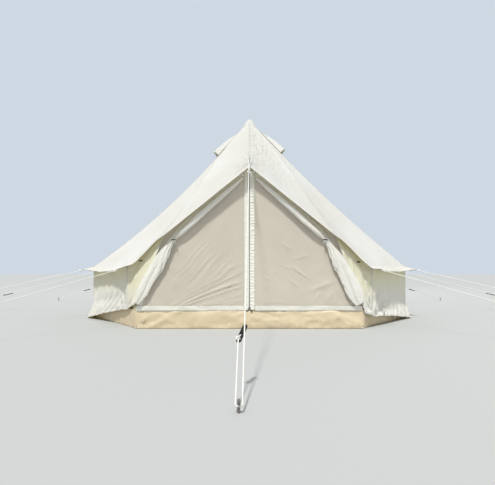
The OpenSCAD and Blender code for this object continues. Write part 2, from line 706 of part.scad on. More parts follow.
door_flap("right");  // door_flap_right
flap_ties();
toggles();
guy_ropes();
guy_sliders();
guy_pegs();
wall_pegs();
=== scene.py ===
"""Looks of a pitched canvas bell tent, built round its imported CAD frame. Metres, +Z up, door towards -Y."""
import math

import bpy
import numpy as np
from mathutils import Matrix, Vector


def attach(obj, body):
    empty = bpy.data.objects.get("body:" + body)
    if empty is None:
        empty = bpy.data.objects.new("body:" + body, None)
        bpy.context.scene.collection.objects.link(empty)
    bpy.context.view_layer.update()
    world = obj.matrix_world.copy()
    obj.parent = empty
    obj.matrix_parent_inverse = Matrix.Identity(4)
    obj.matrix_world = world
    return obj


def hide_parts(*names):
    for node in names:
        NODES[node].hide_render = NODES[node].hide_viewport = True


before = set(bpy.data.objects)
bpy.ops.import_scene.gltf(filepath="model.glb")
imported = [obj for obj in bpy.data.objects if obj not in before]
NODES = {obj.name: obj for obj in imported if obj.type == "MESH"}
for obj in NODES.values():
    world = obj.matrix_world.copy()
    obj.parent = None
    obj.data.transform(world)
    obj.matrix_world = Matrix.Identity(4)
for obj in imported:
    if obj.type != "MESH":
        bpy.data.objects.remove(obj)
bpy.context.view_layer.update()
scene = bpy.context.scene


# Camera, lights, floor
def look_at(obj, target):
    obj.rotation_euler = (Vector(target) - obj.location).to_track_quat("-Z", "Y").to_euler()


def add_area(name, place, target, size, watts, colour=(1, 1, 1)):
    data = bpy.data.lights.new(name, "AREA")
    data.shape = "DISK"
    data.size = size
    data.energy = watts
    data.color = colour
    lamp = bpy.data.objects.new(name, data)
    lamp.location = place
    scene.collection.objects.link(lamp)
    look_at(lamp, target)


def set_stage():
    camera_data = bpy.data.cameras.new("camera")
    camera_data.lens = 35.2
    camera_data.sensor_width = 36
    camera_data.shift_x = -0.004
    camera_data.shift_y = 0.0556
    camera = bpy.data.objects.new("camera", camera_data)
    camera.location = (0, -6.3, 0.562)
    camera.rotation_euler = (math.radians(90), 0, 0)
    scene.collection.objects.link(camera)
    scene.camera = camera

    sun = bpy.data.lights.new("key", "SUN")
    sun.energy = 3.3
    sun.angle = math.radians(5)
    sun.color = (1.0, 0.985, 0.96)
    key = bpy.data.objects.new("key", sun)
    key.location = (-2.1, -7.0, 12.5)
    scene.collection.objects.link(key)
    look_at(key, (0, 0, 0.8))
    add_area("fill", (8.0, -5.5, 1.9), (0, 0, 0.6), 3.6, 60, (0.92, 0.97, 1.0))
    add_area("back", (1.5, 9.0, 6.5), (0, 0, 1.0), 5.0, 120)

    world = bpy.data.worlds.new("world")
    scene.world = world
    world.use_nodes = True
    nodes, links = world.node_tree.nodes, world.node_tree.links
    nodes.clear()
    path = nodes.new("ShaderNodeLightPath")
    out = nodes.new("ShaderNodeOutputWorld")
    soft = nodes.new("ShaderNodeBackground")
    soft.inputs["Color"].default_value = (0.93, 0.96, 1.0, 1)
    soft.inputs["Strength"].default_value = 0.62
    seen = nodes.new("ShaderNodeBackground")
    seen.inputs["Color"].default_value = (0.62, 0.69, 0.77, 1)
    mix_world = nodes.new("ShaderNodeMixShader")
    either = nodes.new("ShaderNodeMath")
    either.operation = "MAXIMUM"
    links.new(path.outputs["Is Camera Ray"], either.inputs[0])
    links.new(path.outputs["Is Glossy Ray"], either.inputs[1])
    links.new(either.outputs[0], mix_world.inputs[0])
    links.new(soft.outputs[0], mix_world.inputs[1])
    links.new(seen.outputs[0], mix_world.inputs[2])
    links.new(mix_world.outputs[0], out.inputs[0])

    bpy.ops.mesh.primitive_circle_add(vertices=96, radius=60, fill_type="NGON")
    floor = bpy.context.object
    floor.name = "floor"
    mat = bpy.data.materials.new("floor")
    mat.use_nodes = True
    bsdf = mat.node_tree.nodes["Principled BSDF"]
    bsdf.inputs["Base Color"].default_value = (0.44, 0.45, 0.44, 1)
    bsdf.inputs["Roughness"].default_value = 0.9
    floor.data.materials.append(mat)
    scene.view_settings.view_transform = "Standard"


# Noise and easing, the same on each run
LATTICES = [np.random.default_rng(seed).random((64, 64)) * 2 - 1 for seed in range(40)]


def noise(u, v, seed=0):
    grid = LATTICES[seed]
    u, v = grids(u, v)
    iu, iv = np.floor(u).astype(int), np.floor(v).astype(int)
    fu, fv = u - iu, v - iv
    fu, fv = fu * fu * (3 - 2 * fu), fv * fv * (3 - 2 * fv)
    a, b = grid[iu & 63, iv & 63], grid[(iu + 1) & 63, iv & 63]
    c, d = grid[iu & 63, (iv + 1) & 63], grid[(iu + 1) & 63, (iv + 1) & 63]
    return (a * (1 - fu) + b * fu) * (1 - fv) + (c * (1 - fu) + d * fu) * fv


def fbm(u, v, seed, octaves=3):
    return sum(noise(u * 2 ** i + 7.3 * i, v * 2 ** i, seed + i) * 0.55 ** i for i in range(octaves))


def creases(u, v, seed):
    """Ridged noise: narrow raised folds between broad hollows."""
    return (1 - np.abs(fbm(u, v, seed, 2)) * 1.6).clip(0, 1) ** 3


def ease(x, a, b):
    t = np.clip((x - a) / (b - a), 0, 1)
    return t * t * (3 - 2 * t)


def bell(x, centre, width):
    return np.exp(-((x - centre) / width) ** 2)


def sharp(x):
    """A narrow crest where x crosses zero."""
    return (1 - np.abs(x) * 2.2).clip(0, 1) ** 1.5


def mix(a, b, f):
    return a + (b - a) * f


def unit(v):
    return v / np.linalg.norm(v, axis=-1, keepdims=True).clip(1e-9)


def grids(*parts):
    """Arrays of numbers, stretched to one shape."""
    return np.broadcast_arrays(*(np.asarray(part, float) for part in parts))


def pairs(u, v):
    return np.stack(np.broadcast_arrays(u, v), -1)


def polar(r, a, z):
    a = np.radians(a)
    return np.stack(np.broadcast_arrays(r * np.sin(a), -r * np.cos(a), z), -1)


# The tent's shape, as in the CAD source
APEX_H, WALL_H, WALL_R, WALL_LEAN, FLARE_H = 2.52, 0.6, 1.93, 0.07, 0.18
CAP_R, CAP_DROP = 0.04, 0.052
SLOPE_LEN, VALANCE_W, SCALLOP = 2.7, 0.12, 0.038
HOOD_TOP, HOOD_LOW, VENT_INSET, VENT_LEN = 0.15, 0.41, 0.028, 0.21
# Bearings from the door's middle in degrees: the door's corner, the ribs after it, and the step of the rest
DOOR_A, CORNER_A, SIDE_A, STEP_A = 33, 39, 72, 27
TENT_R = 2
HALF_W, BASE_Y = TENT_R * math.sin(math.radians(DOOR_A)), TENT_R * math.cos(math.radians(DOOR_A))
PEAK_H, SHOULDER_H, SHOULDER_X, DOOR_LEAN = 1.55, 0.925, 0.79, 0.085
PORCH_OUT, PORCH_DROP = 0.08, 0.038
RIM_H, RIM_R = 0.18, 1.9
# Clearance of touching pieces, the roof's thickness upright, and from the netting to the front plane
SEAT, ROOF_T, GAP = 0.0003, 0.00564, 0.016
# Guy ropes: distance of the pegs, height of their grip, thickness, half the width of the doubled end
GUY_R, END_GUY_R, GRIP_H = 4.3, 4.4, 0.03
ROPE_R, PEG_R, STRAND = 0.004, 0.006, 0.014
# Shares of the way to the peg
SIDE_SLIDER, FRONT_SLIDER, FRONT_HITCH = 0.62, 0.83, 0.1
# Steps of the paths and pitch of the lay, pitch of the weave, thickness of the cloth
CORD_STEP, ROPE_STEP, RIM_STEP, ROPE_LAY = 0.004, 0.007, 0.024, 0.035
WEAVE, CLOTH_T, LOOP_H = 0.0012, 0.0018, 0.012
DOOR_SLOPE = (PEAK_H - SHOULDER_H) / SHOULDER_X
SAG = {"left": 0.125, "right": 0.07}
LIFT = {"left": 0.25, "right": 0.15}
MIRROR = np.array([-1.0, 1, 1])
SIDES = ("left", "right")


def mesh_y(z):
    return BASE_Y + DOOR_LEAN * (z - RIM_H) / (PEAK_H - RIM_H)


def face_y(z):
    return mesh_y(z) + GAP


def rib_a(k):
    return CORNER_A if k == 2 else SIDE_A + STEP_A * (k - 3)


def ribs_from(first):
    """Each rib from the given one with its side; the one at the rear comes once."""
    return [(k, side) for k in range(first, 8) for side in SIDES if k < 7 or side == "right"]


def side_guy_r(k):
    return END_GUY_R if k == 7 else GUY_R


GUY_DROP = ROOF_T + ROPE_R + SEAT


def guy_slope(k):
    return (WALL_H - GUY_DROP - GRIP_H) / (side_guy_r(k) - WALL_R)


def ring_pt(k):
    if k == 0:
        return np.array([0, -face_y(PEAK_H), PEAK_H])
    if k == 1:
        return np.array([SHOULDER_X, -face_y(SHOULDER_H), SHOULDER_H])
    return polar(WALL_R, rib_a(k), WALL_H)


def eave_pt(k):
    if k < 2:
        return ring_pt(k) + np.array([0, -PORCH_OUT, -PORCH_DROP])
    return polar(WALL_R + VALANCE_W, rib_a(k), WALL_H - VALANCE_W * guy_slope(k))


def slope_share(radius):
    """How far down the roof a radius lies, from 0 at the cap to 1 at the wall."""
    return (radius - CAP_R) / (WALL_R - CAP_R)


def down_slope(v):
    """Metres down the cloth, for v from 0 at the cap to 1 at the wall and 2 at the valance's edge."""
    return SLOPE_LEN * np.minimum(v, 1) + VALANCE_W * np.maximum(v - 1, 0)


def rib_sag(k, side):
    if k < 2:
        return (0.02, 0.025)[k]
    return mix(SAG[side], (SAG["left"] + SAG["right"]) / 2, max(0, k - 5) / 2)


def rib_pt(k, t, side):
    p = ring_pt(k)
    start = polar(CAP_R, math.degrees(math.atan2(p[0], -p[1])), APEX_H - CAP_DROP)
    t = np.asarray(t, float)[..., None]
    bow = 0.06 * 6.75 * t * (1 - t) ** 2 if k == 1 else 0 * t
    drop = rib_sag(k, side) * 4 * t * (1 - t)
    return mix(start, p, t) + np.concatenate([bow, 0 * t, -drop], -1)


def roof_pt(k, f, t, side):
    """Outer face of the roof; f and t broadcast together."""
    f, t = grids(f, t)
    p = mix(rib_pt(k, t, side), rib_pt(k + 1, t, side), f[..., None])
    p[..., 2] -= 0.018 * 4 * f * (1 - f) * np.sin(np.pi * t)
    return p


def valance_pt(k, f, s, side):
    f, s = grids(f, s)
    wave = 4 * f * (1 - f) * (k > 0)
    ring = mix(ring_pt(k), ring_pt(k + 1), f[..., None])
    edge = mix(eave_pt(k), eave_pt(k + 1), f[..., None])
    p = ring + (s * (1 - wave * SCALLOP / VALANCE_W))[..., None] * (edge - ring)
    droop = wave * 0.036
    if k == 1:
        late = 0.8 if side == "right" else 0.66
        droop = 0.052 * np.where(f < late, ease(f, 0.1, late), 1 - ease(f, late, 1.0) * 0.9)
    p[..., 2] -= s * droop
    return p


def wall_edge_x(z):
    top = SHOULDER_H - ROOF_T - SEAT
    return mix(HALF_W + 0.008, SHOULDER_X, np.maximum(0, z - RIM_H) / (top - RIM_H))


def foot_z(a, lift):
    return lift * np.maximum(0, 1 - (a - DOOR_A) / 24) ** 1.3


def wall_pt(k, level, lift):
    if k == 1:
        z = mix(lift, SHOULDER_H - ROOF_T - SEAT, level)
        return np.stack([wall_edge_x(z), -face_y(z), z], -1)
    z = mix(foot_z(rib_a(k), lift), WALL_H - ROOF_T - SEAT, level)
    return polar(WALL_R + WALL_LEAN * np.maximum(0, 1 - z / FLARE_H), rib_a(k), z)


# Meshes: every shape is a list of (vertices, faces, uv in metres)
def grid_normals(p, wrap, flip):
    if wrap:
        du = np.roll(p, -1, 0) - np.roll(p, 1, 0)
    else:
        du = np.gradient(p, axis=0)
    n = unit(np.cross(du, np.gradient(p, axis=1)))
    return -n if flip else n


def shell(p, uv, thick, wrap=False, flip=False, hole=None, lift=None):
    """Thin closed sheet through a grid of points, columns by rows, moved along its normals by lift."""
    n = grid_normals(p, wrap, flip)
    if lift is not None:
        p = p + n * lift[..., None]
        n = grid_normals(p, wrap, flip)
    thick = np.broadcast_to(np.asarray(thick, float), p.shape[:2])[..., None]
    cols, rows = p.shape[:2]
    verts = np.concatenate([p.reshape(-1, 3), (p - n * thick).reshape(-1, 3)])
    uvs = np.concatenate([uv.reshape(-1, 2)] * 2)
    cells = np.ones((cols if wrap else cols - 1, rows - 1), bool)
    if hole is not None:
        cells &= ~hole
    c, r = np.nonzero(cells)
    a = c * rows + r
    b = ((c + 1) % cols) * rows + r
    d, e = a + 1, b + 1
    m = cols * rows
    top = np.stack([a, b, e, d], 1)
    parts = [top, top[:, ::-1] + m]
    full = np.pad(cells, ((0, 0), (1, 1)))
    ring = np.concatenate([cells[-1:], cells, cells[:1]]) if wrap else np.pad(cells, ((1, 1), (0, 0)))
    for open_side, p0, p1 in ((~full[c, r], a, b), (~ring[c + 2, r], b, e), (~full[c, r + 2], e, d),
                              (~ring[c, r], d, a)):
        q, w = p0[open_side], p1[open_side]
        parts.append(np.stack([w, q, q + m, w + m], 1))
    faces = np.concatenate(parts)
    if flip:
        faces = faces[:, ::-1]
    used = np.zeros(2 * m, bool)
    used[faces] = True
    index = np.cumsum(used) - 1
    return verts[used], index[faces].tolist(), uvs[used]


def frames(c):
    """Two axes across a path, without twist."""
    t = unit(np.gradient(c, axis=0))
    a = np.zeros_like(c)
    ref = np.array([0, 0, 1.0]) if abs(t[0][2]) < 0.9 else np.array([1.0, 0, 0])
    v = np.cross(ref, t[0])
    for i, d in enumerate(t):
        v = v - d * (v @ d)
        v = v / np.linalg.norm(v)
        a[i] = v
    return a, np.cross(t, a)


def sweep(c, a, b, section, closed=False):
    """Closed solid: a section, one for all or one for each point, on the axes a and b along the points c."""
    section = np.broadcast_to(section, (len(c),) + section.shape[-2:])
    n, m = section.shape[:2]
    v = c[:, None] + a[:, None] * section[..., :1] + b[:, None] * section[..., 1:]
    along = np.concatenate([[0], np.cumsum(np.linalg.norm(np.diff(c, axis=0), axis=1))])
    uv = np.stack([section[..., 0], np.broadcast_to(along[:, None], (n, m))], -1)
    i, j = np.meshgrid(np.arange(n if closed else n - 1), np.arange(m), indexing="ij")
    k, l = (j + 1) % m, (i + 1) % n
    faces = np.stack([i * m + j, i * m + k, l * m + k, l * m + j], -1).reshape(-1, 4).tolist()
    if not closed:
        faces += [list(range(m))[::-1], [(n - 1) * m + q for q in range(m)]]
    return v.reshape(-1, 3), faces, uv.reshape(-1, 2)


def circle(r, sides, squash=1.0):
    a = np.arange(sides) * 2 * np.pi / sides
    return np.stack([r * np.cos(a), r * squash * np.sin(a)], -1)


def flat_section(width, thick):
    """Rounded strip section, width along the first axis."""
    w, h = width / 2, thick / 2
    return np.array([[w, 0], [w - h * 0.6, h], [0, h * 1.15], [-w + h * 0.6, h],
                     [-w, 0], [-w + h * 0.6, -h], [0, -h], [w - h * 0.6, -h]])


def resample(points, step):
    points = np.asarray(points, float)
    s = np.concatenate([[0], np.cumsum(np.linalg.norm(np.diff(points, axis=0), axis=1))])
    at = np.linspace(0, s[-1], max(3, int(s[-1] / step) + 1))
    return np.stack([np.interp(at, s, points[:, i]) for i in range(3)], -1)


def smooth_path(points, step, rounds=2):
    """Corners cut, then even steps."""
    p = np.asarray(points, float)
    for _ in range(rounds):
        q = mix(p[:-1], p[1:], 0.25)
        w = mix(p[:-1], p[1:], 0.75)
        mid = np.stack([q, w], 1).reshape(-1, 3)
        p = np.concatenate([p[:1], mid[1:-1], p[-1:]])
    return resample(p, step)


def cord(points, r):
    c = smooth_path(points, CORD_STEP)
    a, b = frames(c)
    return sweep(c, a, b, circle(r, 8))


def rope(points, r=ROPE_R, rounds=0):
    """Three-strand laid rope: a lobed section that turns along the path."""
    c = smooth_path(points, ROPE_STEP, rounds)
    a, b = frames(c)
    s = np.arange(len(c)) * ROPE_STEP
    turn = -2 * np.pi * s / ROPE_LAY
    ang = np.arange(6) * np.pi / 3 + turn[:, None]
    rad = np.where(np.arange(6) % 2 == 0, r, r * 0.74)
    section = np.stack([rad * np.cos(ang), rad * np.sin(ang)], -1)
    return sweep(c, a, b, section)


def knot(centre, along, r, size):
    """A trefoil pulled tight, which reads as an overhand knot."""
    t = np.linspace(0, 2 * np.pi, 61)[:-1]
    x = np.sin(t) + 2 * np.sin(2 * t)
    y = np.cos(t) - 2 * np.cos(2 * t)
    z = -np.sin(3 * t) * 1.5
    u = unit(np.asarray(along, float))
    v = unit(np.cross(u, [0.3, 0.2, 1.0]))
    w = np.cross(u, v)
    c = np.asarray(centre) + size / 3 * (x[:, None] * v + y[:, None] * w + z[:, None] * u)
    d = unit(np.roll(c, -1, 0) - np.roll(c, 1, 0))
    a = unit(np.cross(d, c - np.asarray(centre)))
    return sweep(c, a, np.cross(d, a), circle(r, 8), True)


def build(name, shapes, mat, slot, *nodes):
    verts, faces, uvs, base = [], [], [], 0
    for v, f, uv in shapes:
        verts.append(np.maximum(v, [-9, -9, 0]))
        uvs.append(uv)
        faces += [[i + base for i in face] for face in f]
        base += len(v)
    uvs = np.concatenate(uvs)
    mesh = bpy.data.meshes.new(name)
    mesh.from_pydata(np.concatenate(verts).tolist(), [], faces)
    layer = mesh.uv_layers.new(name="uv")
    index = np.empty(len(mesh.loops), int)
    mesh.loops.foreach_get("vertex_index", index)
    layer.data.foreach_set("uv", uvs[index].ravel())
    mesh.polygons.foreach_set("use_smooth", [True] * len(mesh.polygons))
    mesh.materials.append(mat)
    obj = bpy.data.objects.new(name, mesh)
    scene.collection.objects.link(obj)
    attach(obj, "root")
    if nodes:
        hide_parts(*nodes)
    return obj


# Materials
class Shader:
    """Short hand for the node tree of one material."""

    def __init__(self, name, roughness, **sockets):
        self.mat = bpy.data.materials.new(name)
        self.mat.use_nodes = True
        self.tree = self.mat.node_tree
        self.bsdf = self.tree.nodes["Principled BSDF"]
        self.set("Roughness", roughness)
        for key, value in sockets.items():
            self.set(key.replace("_", " "), value)
        coords = self.tree.nodes.new("ShaderNodeTexCoord")
        self.uv, self.place = coords.outputs["UV"], coords.outputs["Object"]
        self.u, self.v = self.add("SeparateXYZ", {0: self.uv}, out=None).outputs[:2]
        self.at = self.add("SeparateXYZ", {0: self.place}, out=None).outputs
        self.heights = []

    def put(self, socket, value):
        if isinstance(value, bpy.types.NodeSocket):
            self.tree.links.new(value, socket)
        else:
            socket.default_value = value

    def set(self, name, value):
        self.put(self.bsdf.inputs[name], value)

    def add(self, kind, inputs, out=0, **props):
        n = self.tree.nodes.new("ShaderNode" + kind)
        for key, value in props.items():
            setattr(n, key, value)
        for key, value in inputs.items():
            self.put(n.inputs[key], value)
        return n if out is None else n.outputs[out]

    def math(self, op, a, b=0.0):
        return self.add("Math", {0: a, 1: b}, operation=op)

    def times(self, a, b):
        return self.math("MULTIPLY", a, b)

    def noise(self, scale, detail=3.0, rough=0.5, at=None, distort=0.0):
        return self.add("TexNoise", {"Vector": at or self.place, "Scale": scale, "Detail": detail,
                                     "Roughness": rough, "Distortion": distort})

    def stretched(self, x, y, z, source=None):
        return self.add("VectorMath", {0: source or self.place, 1: (x, y, z)}, operation="MULTIPLY")

    def span(self, value, lo, hi, to_lo=0.0, to_hi=1.0):
        return self.add("MapRange", {0: value, 1: lo, 2: hi, 3: to_lo, 4: to_hi})

    def blend(self, factor, a, b):
        return self.add("Mix", {0: factor, 6: a, 7: b}, out=2, data_type="RGBA")

    def waves(self, coord, pitch):
        return self.math("SINE", self.times(coord, 2 * math.pi / pitch))

    def height(self, value, metres, strength):
        """Adds a bump of the given depth on top of those before it."""
        n = self.add("Bump", {"Strength": strength, "Distance": metres, "Height": value}, out=None)
        if self.heights:
            self.put(n.inputs["Normal"], self.heights[-1])
        self.heights.append(n.outputs[0])
        self.set("Normal", n.outputs[0])

    def glow(self, share, tone):
        """Lets part of the light through, as thin cloth does."""
        tree = self.tree
        thin = tree.nodes.new("ShaderNodeBsdfTranslucent")
        thin.inputs["Color"].default_value = tone
        both = tree.nodes.new("ShaderNodeMixShader")
        both.inputs[0].default_value = share
        if self.heights:
            tree.links.new(self.heights[-1], thin.inputs["Normal"])
        tree.links.new(self.bsdf.outputs[0], both.inputs[1])
        tree.links.new(thin.outputs[0], both.inputs[2])
        tree.links.new(both.outputs[0], tree.nodes["Material Output"].inputs["Surface"])

    def stitches(self, offset, pitch=0.0042, width=0.0009):
        """Mask of a stitch line at each side of the strip's middle."""
        off = self.math("ABSOLUTE", self.math("SUBTRACT", self.math("ABSOLUTE", self.u), offset))
        line = self.math("LESS_THAN", off, width)
        dash = self.math("GREATER_THAN", self.waves(self.v, pitch), -0.35)
        return self.times(line, dash)


def rgb(r, g, b):
    return (r, g, b, 1)


def tint(tone, share):
    """A tone times one share, or times one for each channel."""
    return tuple(float(c) for c in np.multiply(tone, share))


def shade(tone, share=1.0):
    return rgb(*tint(tone, share))


def canvas(name, tone, stitch=None, pucker_and_seam_shade=True, foot=False, painted_eave_shade=False, peak=False):
    s = Shader(name, 0.9, Sheen_Weight=0.18, Sheen_Roughness=0.5)
    dark = shade(tone, (0.93, 0.92, 0.88))
    cloud = s.noise(1.3, 4, 0.55)
    colour = s.blend(s.span(cloud, 0.35, 0.65), dark, shade(tone))
    slubs = s.noise(1.0, 3, 0.7, s.stretched(900, 60, 1, s.uv))
    slubs_across = s.noise(1.0, 3, 0.7, s.stretched(60, 900, 1, s.uv))
    thread = s.math("ADD", slubs, slubs_across)
    colour = s.blend(s.span(thread, 0.75, 1.3, 0.16, 0.0), colour, shade(tone, 0.8))
    specks = s.span(s.noise(95, 2, 0.6), 0.7, 0.76, 0.0, 0.35)
    colour = s.blend(specks, colour, rgb(0.5, 0.42, 0.3))
    if peak:
        rise = s.math("SUBTRACT", s.at[2], PEAK_H + 0.01)
        reach = s.math("SQRT", s.math("ADD", s.times(s.at[0], s.at[0]), s.times(rise, rise)))
        turn = s.times(s.math("ARCTAN2", rise, s.at[0]), 6.5)
        line = s.noise(1.0, 1, 0.4, s.add("CombineXYZ", {0: turn, 1: s.times(reach, 5.0)}), 0.4)
        near = s.times(s.span(reach, 0.04, 0.42, 1.0, 0.0), s.span(s.at[1], -0.6, -0.45, 1.0, 0.0))
        s.height(s.times(line, near), 0.022, 0.8)
        side = s.times(s.span(s.at[0], 0.0, 0.05), s.span(s.at[0], 0.25, 0.9, 1.0, 0.0))
        side = s.times(side, s.span(s.at[1], -0.2, -0.1, 1.0, 0.0))
        crush = s.noise(8.0, 2, 0.45, s.stretched(1.7, 1, 0.8), 0.7)
        s.height(s.times(crush, side), 0.012, 0.6)
    # Painted shade: the top of the wall under the eave, and the front of the wall beside the door above its
    # foot, are tinted darker and olive-yellow, standing in for the shade of the roof there.
    if painted_eave_shade:
        door = s.times(s.span(s.at[1], -1.52, -1.36, 0.75, 0.0), s.span(s.at[2], 0.2, 0.4))
        under = s.math("MAXIMUM", s.span(s.v, 0.0, 0.36, 1.0, 0.0), door)
        colour = s.blend(under, colour, shade(tone, (0.91, 0.895, 0.66)))
    if foot:
        splash = s.times(s.span(s.at[2], 0.0, 0.16, 1.0, 0.0), s.span(s.noise(14, 5, 0.7), 0.4, 0.75))
        colour = s.blend(s.times(splash, 0.55), colour, rgb(0.50, 0.45, 0.30))
    weft = s.times(s.waves(s.u, WEAVE), s.waves(s.v, WEAVE))
    crumple = s.noise(7.5, 4, 0.62, distort=0.7)
    ridge = s.math("ABSOLUTE", s.math("SUBTRACT", crumple, 0.5))
    s.height(s.times(s.span(ridge, 0.0, 0.09, 1.0, 0.0), s.span(s.noise(2.2, 2), 0.42, 0.7)), 0.0016, 0.6)
    s.height(s.noise(24, 4, 0.6, distort=0.4), 0.0022, 0.45)
    if pucker_and_seam_shade:
        # Painted shade: a darker line just past each edge of the seam strip, standing in for the shade the
        # strip casts; the gather below is a real bump.
        beside = s.span(s.math("ABSOLUTE", s.u), 0.0075, 0.0125, 0.34, 0.0)
        colour = s.blend(beside, colour, shade(tone, 0.62))
        near = s.span(s.math("ABSOLUTE", s.u), 0.0, 0.035, 1.0, 0.0)
        gather = s.noise(1.0, 3, 0.6, s.stretched(12, 46, 1, s.uv))
        s.height(s.times(near, gather), 0.004, 0.7)
    if stitch is not None:
        mask = s.stitches(stitch)
        colour = s.blend(s.times(mask, 0.5), colour, shade(tone, 0.72))
        s.height(mask, -0.0006, 0.8)
        s.height(s.noise(1.0, 2, 0.5, s.stretched(60, 240, 1, s.uv)), 0.0012, 0.6)
    s.height(weft, 0.00018, 0.5)
    s.height(thread, 0.0004, 0.4)
    s.set("Base Color", colour)
    s.glow(0.30, rgb(0.96, 0.86, 0.46))
    return s.mat


def netting(name, tone, pitch=0.0016):
    s = Shader(name, 0.8, Sheen_Weight=0.1)
    across, along = s.waves(s.u, pitch), s.waves(s.v, pitch)
    # Painted shade: the open cells of the netting are coloured dark, standing in for the shaded inside of the
    # tent seen through them.
    open_cell = s.math("GREATER_THAN", s.times(s.math("ABSOLUTE", across), s.math("ABSOLUTE", along)), 0.55)
    cloud = s.noise(2.2, 3, 0.5)
    lit = s.blend(s.span(cloud, 0.35, 0.65), shade(tone, 0.94), shade(tone))
    colour = s.blend(s.times(open_cell, 0.55), lit, shade(tone, 0.42))
    s.set("Base Color", colour)
    s.height(s.noise(11, 3, 0.6, distort=0.5), 0.004, 0.3)
    s.height(s.times(across, along), -0.0003, 0.5)
    s.glow(0.15, rgb(0.80, 0.70, 0.48))
    return s.mat


def tape(name, tone, gather=0.0016):
    s = Shader(name, 0.8, Sheen_Weight=0.15)
    ripple = s.noise(1.0, 3, 0.6, s.stretched(16, 75, 1, s.uv))
    mask = s.stitches(0.019, 0.0036, 0.0008)
    # Painted shade: the tape is darker in the hollows of its ripple bump, where shade would fall.
    colour = s.blend(s.span(ripple, 0.3, 0.7), shade(tone, 0.9), shade(tone))
    colour = s.blend(s.times(mask, 0.6), colour, shade(tone, 0.68))
    s.set("Base Color", colour)
    s.height(ripple, gather, 0.8)
    s.height(s.times(s.waves(s.u, 0.0009), s.waves(s.v, 0.0012)), 0.0002, 0.5)
    s.height(mask, -0.0005, 0.8)
    return s.mat


def coated(name, tone):
    s = Shader(name, 0.55, Coat_Weight=0.06, Coat_Roughness=0.4)
    cloud = s.noise(3.0, 4, 0.6)
    colour = s.blend(s.span(cloud, 0.35, 0.65), shade(tone, 0.9), shade(tone))
    mud = s.times(s.span(s.at[2], 0.0, 0.11, 1.0, 0.05), s.span(s.noise(17, 5, 0.72), 0.42, 0.72))
    colour = s.blend(s.times(mud, 0.6), colour, rgb(0.34, 0.27, 0.16))
    s.set("Base Color", colour)
    s.set("Roughness", s.span(cloud, 0.3, 0.7, 0.48, 0.66))
    s.height(s.noise(9, 3, 0.5, distort=0.5), 0.008, 0.6)
    s.height(s.noise(38, 3, 0.6), 0.0014, 0.4)
    s.height(s.times(s.waves(s.u, 0.0011), s.waves(s.v, 0.0011)), 0.00012, 0.4)
    return s.mat


def fibre(name, tone, grain=700):
    s = Shader(name, 0.85, Sheen_Weight=0.2)
    fuzz = s.noise(grain, 3, 0.6)
    colour = s.blend(s.span(fuzz, 0.3, 0.7), shade(tone, 0.78), shade(tone))
    grime = s.span(s.noise(9, 3, 0.6), 0.5, 0.8, 0.0, 0.45)
    colour = s.blend(grime, colour, shade(tone, (0.7, 0.66, 0.56)))
    s.set("Base Color", colour)
    s.height(fuzz, 0.0005, 0.7)
    return s.mat


def metal(name, tone, roughness, rust=0.0):
    s = Shader(name, roughness, Metallic=1.0)
    patch = s.add("TexVoronoi", {"Vector": s.place, "Scale": 160.0}, out=1)
    grey = s.add("SeparateColor", {0: patch}, out=0)
    colour = s.blend(s.span(grey, 0, 1), shade(tone, 0.8), shade(tone))
    streak = s.noise(1.0, 4, 0.7, s.stretched(140, 140, 6))
    s.set("Roughness", s.span(streak, 0.3, 0.7, roughness * 0.8, min(1.0, roughness * 1.3)))
    if rust:
        spots = s.span(s.noise(120, 5, 0.75), 0.5, 0.66, 0.0, rust)
        colour = s.blend(spots, colour, rgb(0.16, 0.075, 0.035))
        s.set("Metallic", s.span(spots, 0.0, 1.0, 1.0, 0.2))
    s.set("Base Color", colour)
    s.height(streak, 0.0003, 0.4)
    s.height(s.noise(420, 3, 0.6), 0.0002, 0.5)
    return s.mat


def moulded(name, tone, roughness=0.55):
    s = Shader(name, roughness, Specular_IOR_Level=0.25)
    scuff = s.noise(1.0, 5, 0.75, s.stretched(300, 300, 90))
    colour = s.blend(s.span(scuff, 0.55, 0.75, 0.0, 0.5), shade(tone), rgb(*(c * 1.8 + 0.012 for c in tone)))
    s.set("Base Color", colour)
    s.set("Roughness", s.span(scuff, 0.4, 0.7, roughness, roughness + 0.25))
    s.height(s.noise(900, 2, 0.5), 0.0002, 0.5)
    s.height(scuff, 0.0002, 0.3)
    return s.mat


